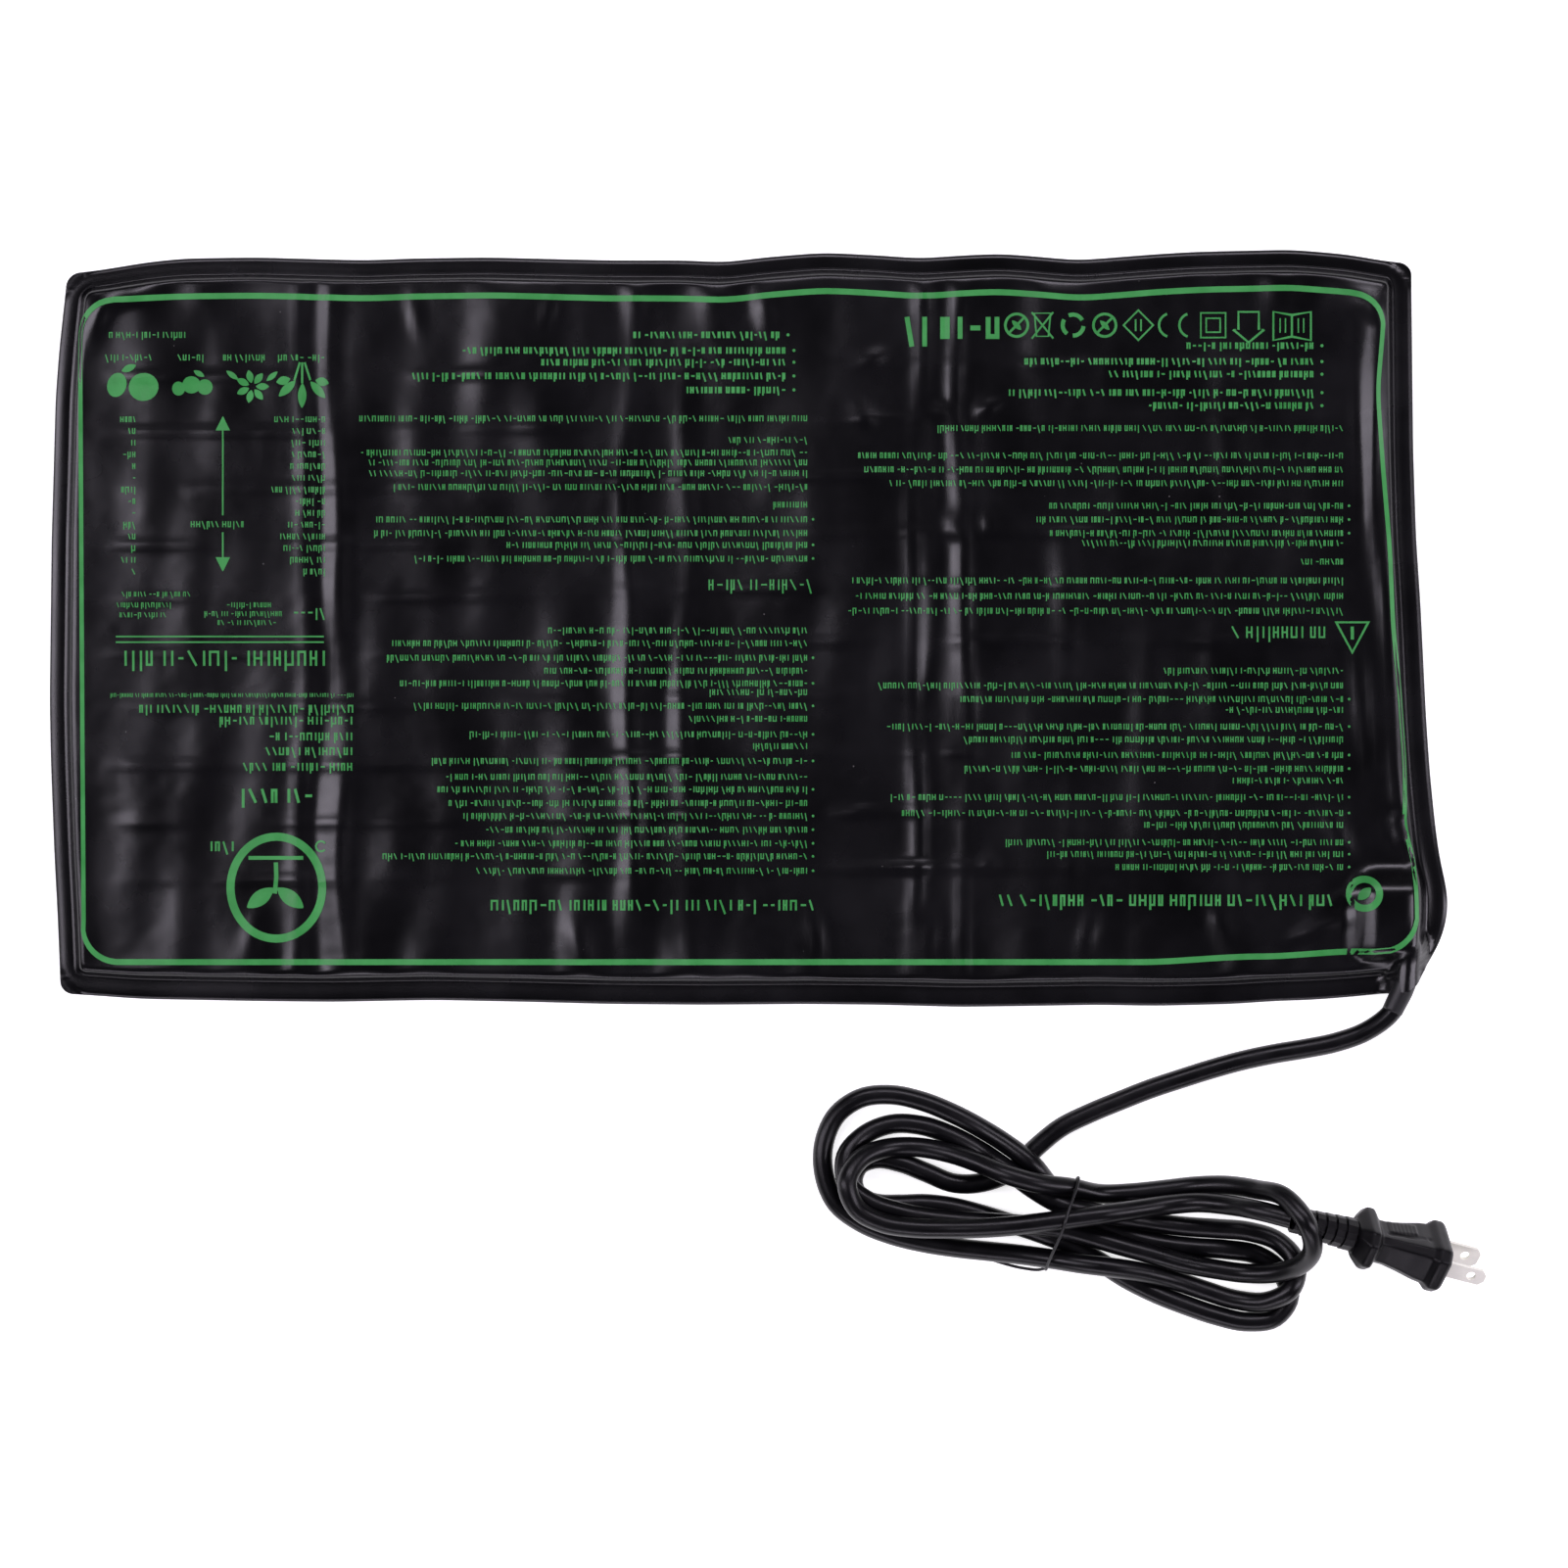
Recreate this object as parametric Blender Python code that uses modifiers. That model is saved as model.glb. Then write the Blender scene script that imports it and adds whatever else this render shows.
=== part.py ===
"""Seedling heat mat: two welded PVC covers round a heating wire, a splice block, a mains lead and a plug.

Metres, +Z up. The mat lies on Z = 0 with its middle at X = Y = 0. The lead leaves through the mat's
edge near the corner at +X, -Y, lies in a tied hank beside it, and ends in a two-blade plug.
"""

import math

import bmesh
import bpy
from mathutils import Matrix, Vector

MM = 0.001
GAP = 0.3 * MM  # between pieces that touch

# Mat
MAT_LENGTH = 508 * MM
MAT_WIDTH = 279 * MM
CORNER_RADIUS = 5 * MM
COVER_THICKNESS = 0.5 * MM
FLANGE_WIDTH = 7 * MM  # the welded rim
RISE_WIDTH = 3 * MM  # from the rim up to the raised face
FOAM_THICKNESS = 1.0 * MM
FOIL_THICKNESS = 0.2 * MM
PAD_INSET = 10.5 * MM  # from the mat's edge to the foam's edge
FOIL_INSET = 1.0 * MM  # from the foam's edge to the foils' edge

# Heating wire
WIRE_DIAMETER = 1.4 * MM
RUN_COUNT = 10
RUN_TO_LEFT_EDGE = 20 * MM
RUN_TO_RIGHT_EDGE = 27.5 * MM
TOP_RUN_TO_EDGE = 43.6 * MM
LAST_RUN_TO_SPLICE = 7.8 * MM
RETURN_TO_EDGE = 14 * MM  # the leg that runs back along the right-hand side

# Splice block, its crimps and the strain relief at the mat's edge
SPLICE_LENGTH = 20 * MM
SPLICE_WIDTH = 14 * MM
SPLICE_HEIGHT = 10.4 * MM
SPLICE_WALL = 1.5 * MM
SPLICE_TO_EDGE = 10 * MM  # from the mat's right-hand edge to the block's middle
SPLICE_CORNER = 1.5 * MM
BUMP_RISE = 7.5 * MM  # the cover's slope up to the block, on its left
BUMP_RISE_BEHIND = 12 * MM
CRIMP_PITCH = 5.2 * MM
CRIMP_LENGTH = 8 * MM
CRIMP_WALL = 0.6 * MM
CRIMP_CLEARANCE = 0.3 * MM
SLEEVE_WALL = 0.35 * MM
SLEEVE_OVERHANG = 1.5 * MM
CORE_DIAMETER = 2.4 * MM
CORE_PITCH = 2.9 * MM
RELIEF_LENGTH = 20.2 * MM
RELIEF_WALL = 0.5 * MM  # over the lead, at the mat's edge
RELIEF_ANGLE = math.radians(8)  # in plan, from -Y towards -X
RELIEF_OFFSET = 2.4 * MM  # from the block's middle to the relief's axis, towards the edge

# Lead, hank and tie. Routes are measured from the floor under the lead's exit, in millimetres.
LEAD_DIAMETER = 7.4 * MM
LEAD_STRAIGHT = 1.8 * MM  # straight out of the strain relief
POINT_SPACING = 2 * LEAD_DIAMETER
LEAD_ROUTE = (
    (-0.6, -4.8, 5.7),
    (-4.0, -9.0, 5.0),
    (-10.6, -12.6, 4.3),
    (-21.5, -15.3, 3.8),
    (-37.6, -17.6, 3.8),
    (-51.9, -19.8, 3.8),
    (-66.5, -23.4, 3.8),
    (-81.0, -28.3, 3.8),
    (-95.6, -33.3, 3.8),
    (-110.2, -38.5, 3.8),
    (-121.3, -44.0, 3.8),
    (-128.4, -49.5, 3.8),
    (-131.9, -54.6, 3.8),
)
TAIL_ROUTE = (
    (-54.3, -75.4, 31.9),
    (-63.3, -74.2, 29.6),
    (-71.3, -73.7, 25.8),
    (-77.3, -73.5, 22.6),
)
HANK_OUTLINE = (
    (-214.7, -54.1),
    (-208.1, -36.9),
    (-191.7, -30.7),
    (-169.8, -35.1),
    (-142.4, -51.5),
    (-116.8, -64.3),
    (-87.5, -66.1),
    (-60.1, -63.6),
    (-38.2, -72.4),
    (-26.9, -89.2),
    (-29.8, -110.0),
    (-43.7, -121.7),
    (-65.6, -117.3),
    (-98.5, -102.7),
    (-127.7, -97.2),
    (-160.6, -95.4),
    (-189.9, -89.2),
    (-208.1, -74.5),
)
HANK_BOTTOM = 1.5 * MM
HANK_TOP = 18.6 * MM
TIE_DIAMETER = 1.0 * MM
TIE_MIDDLE = (-122.6, -80.9)
TIE_HALF_SPAN = 18.5 * MM
TIE_ANGLE = math.radians(252.6)  # in plan, from +X to the side of the tie where its tail lies
TIE_CORNER = 0.8 * MM
TIE_TAIL_LENGTH = 23 * MM
TIE_TAIL_SWING = 2.5 * MM  # how far the tail's end stands off from the hank
TIE_STEP = 2.2 * MM  # between the start and the end of the loop, along the hank

# Plug. Its own frame has +X out of the face, Y from blade to blade, and its origin in the face.
PLUG_FACE = (17.5, -94.4, 13.8)
PLUG_HEADING = math.radians(-15.2)
PLUG_DIP = math.radians(15)
PLUG_ROLL = math.radians(-61)
PLUG_LENGTH = 35.8 * MM
PLUG_SECTIONS = (
    # millimetres: from the rear, half the size across the blades, half the thickness, chamfer
    (0.0, 7.0, 6.4, 2.4),
    (3.6, 12.0, 8.5, 4.0),
    (6.9, 12.0, 8.5, 4.0),
    (9.3, 7.4, 6.0, 2.2),
    (13.0, 7.6, 6.1, 2.2),
    (19.0, 8.8, 6.8, 2.4),
    (25.3, 10.2, 7.8, 2.6),
    (29.0, 10.8, 8.1, 2.8),
    (30.9, 13.0, 9.6, 3.6),
    (34.4, 13.0, 9.6, 3.6),
    (35.8, 12.2, 8.9, 3.4),
)
BRIDGE_SIZE = (11.0 * MM, 18.8 * MM, 11.0 * MM)
PLUG_RELIEF_LENGTH = 24 * MM
PLUG_RELIEF_RADII = (4.8 * MM, 6.35 * MM)  # at the lead and at the plug
PLUG_RELIEF_RINGS = 6
RING_GROOVE_WIDTH = 0.9 * MM
RING_GROOVE_DEPTH = 0.9 * MM
BLADE_PITCH = 12.7 * MM
BLADE_THICKNESS = 1.5 * MM
BLADE_REACH = 16.7 * MM
BLADE_ROOT = 8 * MM  # held in the bridge
BLADE_HOLE_DIAMETER = 3.6 * MM
BLADE_HOLE_TO_TIP = 5.6 * MM
BLADE_WIDTHS = {"blade_live": 6.35 * MM, "blade_neutral": 7.9 * MM}
BLADE_TIP_CHAMFER = 1.8 * MM

# The strain relief fills the block's height at one end and fits the lead at the other
RELIEF_RADII = (SPLICE_HEIGHT / 2 - GAP, LEAD_DIAMETER / 2 + RELIEF_WALL)

# Heights of the layers, from the bench up
FOAM_Z = COVER_THICKNESS + GAP
LOWER_FOIL_Z = FOAM_Z + FOAM_THICKNESS + GAP
WIRE_Z = LOWER_FOIL_Z + FOIL_THICKNESS + GAP + WIRE_DIAMETER / 2
UPPER_FOIL_Z = WIRE_Z + WIRE_DIAMETER / 2 + GAP
FACE_Z = UPPER_FOIL_Z + FOIL_THICKNESS + GAP  # the inside of the raised cover
FLANGE_Z = COVER_THICKNESS + GAP
SPLICE_AXIS_Z = FLANGE_Z + SPLICE_HEIGHT / 2

# Places in plan
SPLICE_X = MAT_LENGTH / 2 - SPLICE_TO_EDGE
RELIEF_DIRECTION = Vector((-math.sin(RELIEF_ANGLE), -math.cos(RELIEF_ANGLE), 0))
RELIEF_END_Y = -MAT_WIDTH / 2 + RELIEF_RADII[1] * math.sin(RELIEF_ANGLE) + GAP
RELIEF_START_Y = RELIEF_END_Y - RELIEF_DIRECTION.y * RELIEF_LENGTH
SPLICE_FRONT_Y = RELIEF_START_Y + RELIEF_RADII[0] * math.sin(RELIEF_ANGLE) + GAP
SPLICE_BACK_Y = SPLICE_FRONT_Y + SPLICE_LENGTH
CRIMP_BACK_Y = SPLICE_BACK_Y - SPLICE_WALL - SLEEVE_OVERHANG - GAP
CRIMP_FRONT_Y = CRIMP_BACK_Y - CRIMP_LENGTH
CRIMP_BORE = WIRE_DIAMETER + 2 * CRIMP_CLEARANCE
RELIEF_START = Vector((SPLICE_X + RELIEF_OFFSET, RELIEF_START_Y, SPLICE_AXIS_Z))
EXIT = RELIEF_START + RELIEF_DIRECTION * RELIEF_LENGTH


def clear_scene():
    for obj in list(bpy.data.objects):
        bpy.data.objects.remove(obj)


def new_collection(name):
    collection = bpy.data.collections.new(name)
    bpy.context.scene.collection.children.link(collection)
    return collection


def material(name, colour, roughness, metallic=0.0):
    made = bpy.data.materials.new(name)
    made.use_nodes = True
    shader = made.node_tree.nodes["Principled BSDF"]
    shader.inputs["Base Color"].default_value = (*colour, 1)
    shader.inputs["Roughness"].default_value = roughness
    shader.inputs["Metallic"].default_value = metallic
    made.diffuse_color = (*colour, 1)
    return made


def add_object(name, data, collection, finish=None):
    obj = bpy.data.objects.new(name, data)
    if finish is not None:
        data.materials.append(finish)
    collection.objects.link(obj)
    return obj


def add_mesh(name, bm, collection, finish=None):
    mesh = bpy.data.meshes.new(name)
    bm.to_mesh(mesh)
    bm.free()
    return add_object(name, mesh, collection, finish)


def box_mesh(low, high):
    """A box between two corners, as a new bmesh."""
    low, high = Vector(low), Vector(high)
    bm = bmesh.new()
    bmesh.ops.create_cube(bm, size=1)
    bmesh.ops.scale(bm, vec=high - low, verts=bm.verts)
    bmesh.ops.translate(bm, vec=(low + high) / 2, verts=bm.verts)
    return bm


def cut(obj, *cutters):
    for cutter in cutters:
        cutter.hide_render = True
        cutter.display_type = "WIRE"
        modifier = obj.modifiers.new(cutter.name, "BOOLEAN")
        modifier.operation = "DIFFERENCE"
        modifier.object = cutter


def tube(name, points, diameter, collection, finish, sides=3, radii=None):
    """A round tube along the points, in metres. radii scale it at each point."""
    curve = bpy.data.curves.new(name, "CURVE")
    curve.dimensions = "3D"
    curve.bevel_depth = diameter / 2
    curve.bevel_resolution = sides
    curve.use_fill_caps = True
    spline = curve.splines.new("POLY")
    spline.points.add(len(points) - 1)
    for i, place in enumerate(points):
        spline.points[i].co = (*place, 1)
        spline.points[i].radius = 1 if radii is None else radii[i]
    return add_object(name, curve, collection, finish)


def plate(name, outlines, low_z, thickness, collection, finish):
    """A flat plate with its underside at low_z. The first outline is its edge and the others are holes."""
    curve = bpy.data.curves.new(name, "CURVE")
    curve.dimensions = "2D"
    curve.fill_mode = "BOTH"
    curve.extrude = thickness / 2
    for outline in outlines:
        spline = curve.splines.new("POLY")
        spline.points.add(len(outline) - 1)
        spline.use_cyclic_u = True
        for point, (x, y) in zip(spline.points, outline):
            point.co = (x, y, 0, 1)
    obj = add_object(name, curve, collection, finish)
    obj.location.z = low_z + thickness / 2
    return obj


def turned(name, profile, collection, finish, steps=14):
    """A turned piece about its own Z. The profile of (radius, height) runs down its outer side."""
    bm = bmesh.new()
    made = [bm.verts.new((radius, 0, height)) for radius, height in profile]
    for first, second in zip(made, made[1:]):
        bm.edges.new((first, second))
    obj = add_mesh(name, bm, collection, finish)
    screw = obj.modifiers.new("turn", "SCREW")
    screw.axis = "Z"
    screw.steps = screw.render_steps = steps
    screw.use_merge_vertices = True
    screw.merge_threshold = 0.00001
    return obj


def ring_profile(inner, outer, length):
    """The closed profile of a sleeve from height 0 to its length."""
    return (
        (inner, length),
        (outer, length),
        (outer, 0),
        (inner, 0),
        (inner, length),
    )


def arc(middle, radius, start, end, steps):
    """Points along an arc, both ends included, with angles in degrees."""
    angles = [math.radians(start + (end - start) * i / steps) for i in range(steps + 1)]
    return [
        (middle[0] + radius * math.cos(a), middle[1] + radius * math.sin(a)) for a in angles
    ]


def rounded_rectangle(half_x, half_y, radius, steps=4):
    corners = ((1, 1, 0), (-1, 1, 90), (-1, -1, 180), (1, -1, 270))
    outline = []
    for sign_x, sign_y, start in corners:
        middle = (sign_x * (half_x - radius), sign_y * (half_y - radius))
        outline += arc(middle, radius, start, start + 90, steps)
    return outline


def smooth_route(places, spacing):
    """Evenly spaced points on a Catmull-Rom curve through the places."""
    places = [Vector(place) for place in places]
    ends = [2 * places[0] - places[1], *places, 2 * places[-1] - places[-2]]
    fine = []
    for a, b, c, d in zip(ends, ends[1:], ends[2:], ends[3:]):
        for i in range(20):
            t = i / 20
            fine.append(
                b + ((c - a) * t + (2 * a - 5 * b + 4 * c - d) * t**2 + (3 * b - a - 3 * c + d) * t**3) / 2
            )
    fine.append(places[-1])
    along = [0.0]
    for first, second in zip(fine, fine[1:]):
        along.append(along[-1] + (second - first).length)
    count = max(2, round(along[-1] / spacing))
    route, index = [], 0
    for i in range(count + 1):
        wanted = along[-1] * i / count
        while index < len(fine) - 2 and along[index + 1] < wanted:
            index += 1
        share = (wanted - along[index]) / (along[index + 1] - along[index])
        route.append(fine[index].lerp(fine[index + 1], min(share, 1)))
    return route


def from_exit(place):
    """A point of a route, given in millimetres from the floor under the exit, in metres."""
    x, y, z = place if len(place) == 3 else (*place, 0)
    return Vector((EXIT.x + x * MM, EXIT.y + y * MM, z * MM))


def slope(value, low, high):
    """0 up to low, 1 from high on, straight between."""
    return min(1.0, max(0.0, (value - low) / (high - low)))


def cover_height(x, y):
    """Height of the top cover's inside: the rim, the raised face, and the bump over the splice and lead."""
    to_edge = min(MAT_LENGTH / 2 - abs(x), MAT_WIDTH / 2 - abs(y))
    face = slope(to_edge, FLANGE_WIDTH, FLANGE_WIDTH + RISE_WIDTH)
    left = SPLICE_X - SPLICE_WIDTH / 2 - 2 * GAP
    right = SPLICE_X + SPLICE_WIDTH / 2 + 2 * GAP
    back = SPLICE_BACK_Y + 2 * GAP
    bump = slope(x, left - BUMP_RISE, left)
    bump *= 1 - slope(x, right, right + (MAT_LENGTH / 2 - right) / 2)
    bump *= 1 - slope(y, back, back + BUMP_RISE_BEHIND)
    raised = FLANGE_Z + face * (FACE_Z - FLANGE_Z)
    return max(raised, FLANGE_Z + bump * (SPLICE_HEIGHT + GAP))


def cover_lines():
    """The grid lines of the top cover: its edges and each place where its slope changes."""
    left = SPLICE_X - SPLICE_WIDTH / 2 - 2 * GAP
    right = SPLICE_X + SPLICE_WIDTH / 2 + 2 * GAP
    back = SPLICE_BACK_Y + 2 * GAP
    rim = (0, FLANGE_WIDTH, FLANGE_WIDTH + RISE_WIDTH)
    xs = [-MAT_LENGTH / 2 + inset for inset in rim] + [left - BUMP_RISE]
    xs += [left - BUMP_RISE / 2, left, right, right + (MAT_LENGTH / 2 - right) / 2, MAT_LENGTH / 2]
    xs += [MAT_LENGTH / 2 - FLANGE_WIDTH, MAT_LENGTH / 2 - FLANGE_WIDTH - RISE_WIDTH]
    ys = [-MAT_WIDTH / 2 + inset for inset in rim] + [MAT_WIDTH / 2 - inset for inset in rim]
    ys += [SPLICE_FRONT_Y, back, back + BUMP_RISE_BEHIND]
    return sorted(xs), sorted(ys)


def make_covers(parts):
    pvc = material("cover_pvc", (0.012, 0.011, 0.014), 0.38)
    edge = rounded_rectangle(MAT_LENGTH / 2, MAT_WIDTH / 2, CORNER_RADIUS)
    plate("bottom_cover", [edge], 0, COVER_THICKNESS, parts, pvc)
    xs, ys = cover_lines()
    bm = bmesh.new()
    bmesh.ops.create_grid(bm, x_segments=len(xs) - 1, y_segments=len(ys) - 1, size=0.5)
    for vert in bm.verts:
        column = round((vert.co.x + 0.5) * (len(xs) - 1))
        row = round((vert.co.y + 0.5) * (len(ys) - 1))
        x, y = xs[column], ys[row]
        z = cover_height(x, y)
        if column in (0, len(xs) - 1) and row in (0, len(ys) - 1):
            pull = CORNER_RADIUS * (1 - math.sqrt(0.5))
            x -= math.copysign(pull, x)
            y -= math.copysign(pull, y)
        vert.co = (x, y, z)
    cover = add_mesh("top_cover", bm, parts, pvc)
    wall = cover.modifiers.new("wall", "SOLIDIFY")
    wall.thickness = COVER_THICKNESS
    wall.offset = 1


def layer_outline(inset, notch_x, notch_y):
    """A rectangle inset from the mat's edge, with the corner by the splice cut away."""
    x, y = MAT_LENGTH / 2 - inset, MAT_WIDTH / 2 - inset
    return [(-x, -y), (notch_x, -y), (notch_x, notch_y), (x, notch_y), (x, y), (-x, y)]


def make_layers(parts):
    notch_x = SPLICE_X - SPLICE_WIDTH / 2 - 5 * GAP
    notch_y = SPLICE_BACK_Y + 5 * GAP
    foam = material("foam", (0.75, 0.75, 0.72), 0.9)
    foil = material("foil", (0.8, 0.8, 0.82), 0.3, 1)
    outline = layer_outline(PAD_INSET, notch_x, notch_y)
    plate("foam_pad", [outline], FOAM_Z, FOAM_THICKNESS, parts, foam)
    inset = PAD_INSET + FOIL_INSET
    outline = layer_outline(inset, notch_x, notch_y)
    plate("lower_foil", [outline], LOWER_FOIL_Z, FOIL_THICKNESS, parts, foil)
    outline = layer_outline(inset, notch_x - BUMP_RISE, SPLICE_BACK_Y + BUMP_RISE_BEHIND + 5 * GAP)
    plate("upper_foil", [outline], UPPER_FOIL_Z, FOIL_THICKNESS, parts, foil)


def wire_route():
    """The heating wire: from the live crimp up the right-hand side, down the runs, back to the neutral one."""
    live_x, neutral_x = SPLICE_X + CRIMP_PITCH / 2, SPLICE_X - CRIMP_PITCH / 2
    crimp_y = CRIMP_BACK_Y - CRIMP_LENGTH / 2 + CRIMP_CLEARANCE
    side_x = MAT_LENGTH / 2 - RETURN_TO_EDGE
    top_y = MAT_WIDTH / 2 - TOP_RUN_TO_EDGE
    last_y = SPLICE_BACK_Y + LAST_RUN_TO_SPLICE
    radius = (top_y - last_y) / (RUN_COUNT - 1) / 2
    left_x = -MAT_LENGTH / 2 + RUN_TO_LEFT_EDGE + radius
    right_x = MAT_LENGTH / 2 - RUN_TO_RIGHT_EDGE - radius
    leave_y = SPLICE_BACK_Y + 1.5 * MM
    down_y = SPLICE_BACK_Y + BUMP_RISE_BEHIND
    route = [(live_x, crimp_y, SPLICE_AXIS_Z), (live_x, leave_y, SPLICE_AXIS_Z), (side_x, down_y, WIRE_Z)]
    corner = (side_x - radius, top_y - radius)
    route += [(x, y, WIRE_Z) for x, y in arc(corner, radius, 0, 90, 4)]
    for i in range(RUN_COUNT - 1):
        middle_y = top_y - (2 * i + 1) * radius
        turn_x, end = (left_x, 270) if i % 2 == 0 else (right_x, -90)
        route += [(x, y, WIRE_Z) for x, y in arc((turn_x, middle_y), radius, 90, end, 6)]
    bend = LAST_RUN_TO_SPLICE - 1.5 * MM
    for i, (x, y) in enumerate(arc((neutral_x - bend, last_y - bend), bend, 90, 0, 4)):
        route.append((x, y, WIRE_Z + (SPLICE_AXIS_Z - WIRE_Z) * i / 4))
    route.append((neutral_x, crimp_y, SPLICE_AXIS_Z))
    return route


def make_heating_wire(parts):
    finish = material("wire_insulation", (0.6, 0.1, 0.08), 0.45)
    tube("heating_wire", wire_route(), WIRE_DIAMETER, parts, finish, sides=2)


def make_splice(parts, cutters):
    """The two halves of the block, cut by one cavity with its way in for the cores and out for the wire."""
    finish = material("splice_plastic", (0.02, 0.02, 0.022), 0.5)
    low = Vector((SPLICE_X - SPLICE_WIDTH / 2, SPLICE_FRONT_Y, FLANGE_Z))
    high = Vector((SPLICE_X + SPLICE_WIDTH / 2, SPLICE_BACK_Y, FLANGE_Z + SPLICE_HEIGHT))
    wall = Vector((SPLICE_WALL, SPLICE_WALL, SPLICE_WALL))
    cavity = add_mesh("splice_cavity", box_mesh(low + wall, high - wall), cutters)
    half_in = CORE_PITCH / 2 + CORE_DIAMETER / 2 + 2 * GAP
    entry_x = RELIEF_START.x
    rise = CORE_DIAMETER / 2 + GAP
    entry = add_mesh(
        "splice_entry",
        box_mesh(
            (entry_x - half_in, low.y - MM, SPLICE_AXIS_Z - rise),
            (min(entry_x + half_in, high.x - SPLICE_WALL / 2), low.y + SPLICE_WALL + MM, SPLICE_AXIS_Z + rise),
        ),
        cutters,
    )
    half_out = CRIMP_PITCH / 2 + WIRE_DIAMETER / 2 + 2 * GAP
    rise = WIRE_DIAMETER / 2 + GAP
    way_out = add_mesh(
        "splice_way_out",
        box_mesh(
            (SPLICE_X - half_out, high.y - SPLICE_WALL - MM, SPLICE_AXIS_Z - rise),
            (SPLICE_X + half_out, high.y + MM, SPLICE_AXIS_Z + rise),
        ),
        cutters,
    )
    halves = (
        ("splice_base", low.z, SPLICE_AXIS_Z - GAP / 2),
        ("splice_lid", SPLICE_AXIS_Z + GAP / 2, high.z),
    )
    for name, bottom, top in halves:
        bm = box_mesh((low.x, low.y, bottom), (high.x, high.y, top))
        upright = [e for e in bm.edges if abs(e.verts[0].co.z - e.verts[1].co.z) > GAP]
        bmesh.ops.bevel(bm, geom=upright, offset=SPLICE_CORNER, segments=2, affect="EDGES", profile=0.5)
        cut(add_mesh(name, bm, parts, finish), cavity, entry, way_out)


def make_connections(parts):
    """The two cores, the butt crimps and the shrink sleeves inside the block."""
    crimp_metal = material("crimp_metal", (0.75, 0.72, 0.68), 0.35, 1)
    sleeve_finish = material("shrink_sleeve", (0.03, 0.03, 0.03), 0.55)
    bore = CRIMP_BORE / 2
    outer = bore + CRIMP_WALL
    sleeve_inner = outer + CRIMP_CLEARANCE
    stripped = WIRE_DIAMETER / CORE_DIAMETER
    for name, side, colour in (("live", 1, (0.02, 0.02, 0.02)), ("neutral", -1, (0.8, 0.8, 0.78))):
        x = SPLICE_X + side * CRIMP_PITCH / 2
        start = Vector((RELIEF_START.x + side * CORE_PITCH / 2, SPLICE_FRONT_Y, SPLICE_AXIS_Z))
        bend_y = CRIMP_FRONT_Y - 2.2 * MM
        strip_y = CRIMP_FRONT_Y - CRIMP_CLEARANCE
        places = (
            start,
            start + Vector((0, SPLICE_WALL, 0)),
            (x, bend_y, SPLICE_AXIS_Z),
            (x, strip_y - 0.4 * MM, SPLICE_AXIS_Z),
            (x, strip_y, SPLICE_AXIS_Z),
            (x, CRIMP_FRONT_Y + CRIMP_LENGTH / 2 - CRIMP_CLEARANCE, SPLICE_AXIS_Z),
        )
        core = material("core_" + name, colour, 0.5)
        radii = (1, 1, 1, 1, stripped, stripped)
        tube("lead_" + name, places, CORE_DIAMETER, parts, core, sides=2, radii=radii)
        crimp = turned("crimp_" + name, ring_profile(bore, outer, CRIMP_LENGTH), parts, crimp_metal)
        length = CRIMP_LENGTH + SLEEVE_OVERHANG
        ring = ring_profile(sleeve_inner, sleeve_inner + SLEEVE_WALL, length)
        sleeve = turned("sleeve_" + name, ring, parts, sleeve_finish)
        for piece in (crimp, sleeve):
            piece.location = (x, CRIMP_FRONT_Y, SPLICE_AXIS_Z)
            piece.rotation_euler.x = -math.pi / 2


def make_mat_relief(parts):
    """The tapered neck moulded on the lead, between the block and the mat's edge."""
    finish = material("relief_rubber", (0.02, 0.019, 0.023), 0.5)
    wide, narrow = RELIEF_RADII
    profile = ((0, RELIEF_LENGTH), (narrow, RELIEF_LENGTH), (wide, 0), (0, 0))
    relief = turned("mat_strain_relief", profile, parts, finish)
    relief.location = RELIEF_START
    relief.rotation_euler = RELIEF_DIRECTION.to_track_quat("Z", "Y").to_euler()


def make_lead(parts, plug_frame):
    """The lead from the mat to the hank, the hank as one solid, and the tail from the hank to the plug."""
    jacket = material("lead_jacket", (0.02, 0.019, 0.023), 0.42)
    places = [EXIT + RELIEF_DIRECTION * LEAD_STRAIGHT] + [from_exit(place) for place in LEAD_ROUTE]
    route = [EXIT + RELIEF_DIRECTION * GAP] + smooth_route(places, POINT_SPACING)
    tube("lead_run", route, LEAD_DIAMETER, parts, jacket)
    curve = bpy.data.curves.new("lead_hank", "CURVE")
    curve.dimensions = "2D"
    curve.fill_mode = "BOTH"
    curve.extrude = (HANK_TOP - HANK_BOTTOM) / 2
    curve.resolution_u = 3
    spline = curve.splines.new("BEZIER")
    spline.bezier_points.add(len(HANK_OUTLINE) - 1)
    spline.use_cyclic_u = True
    for point, place in zip(spline.bezier_points, HANK_OUTLINE):
        point.co = from_exit(place)
        point.handle_left_type = point.handle_right_type = "AUTO"
    hank = add_object("lead_hank", curve, parts, jacket)
    hank.location.z = (HANK_TOP + HANK_BOTTOM) / 2
    back = -(PLUG_LENGTH + PLUG_RELIEF_LENGTH + 2 * GAP)
    places = [plug_frame @ Vector((back - reach, 0, 0)) for reach in (0, 8 * MM)]
    places += [from_exit(place) for place in TAIL_ROUTE]
    tube("lead_tail", smooth_route(places, POINT_SPACING / 2), LEAD_DIAMETER, parts, jacket)


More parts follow.
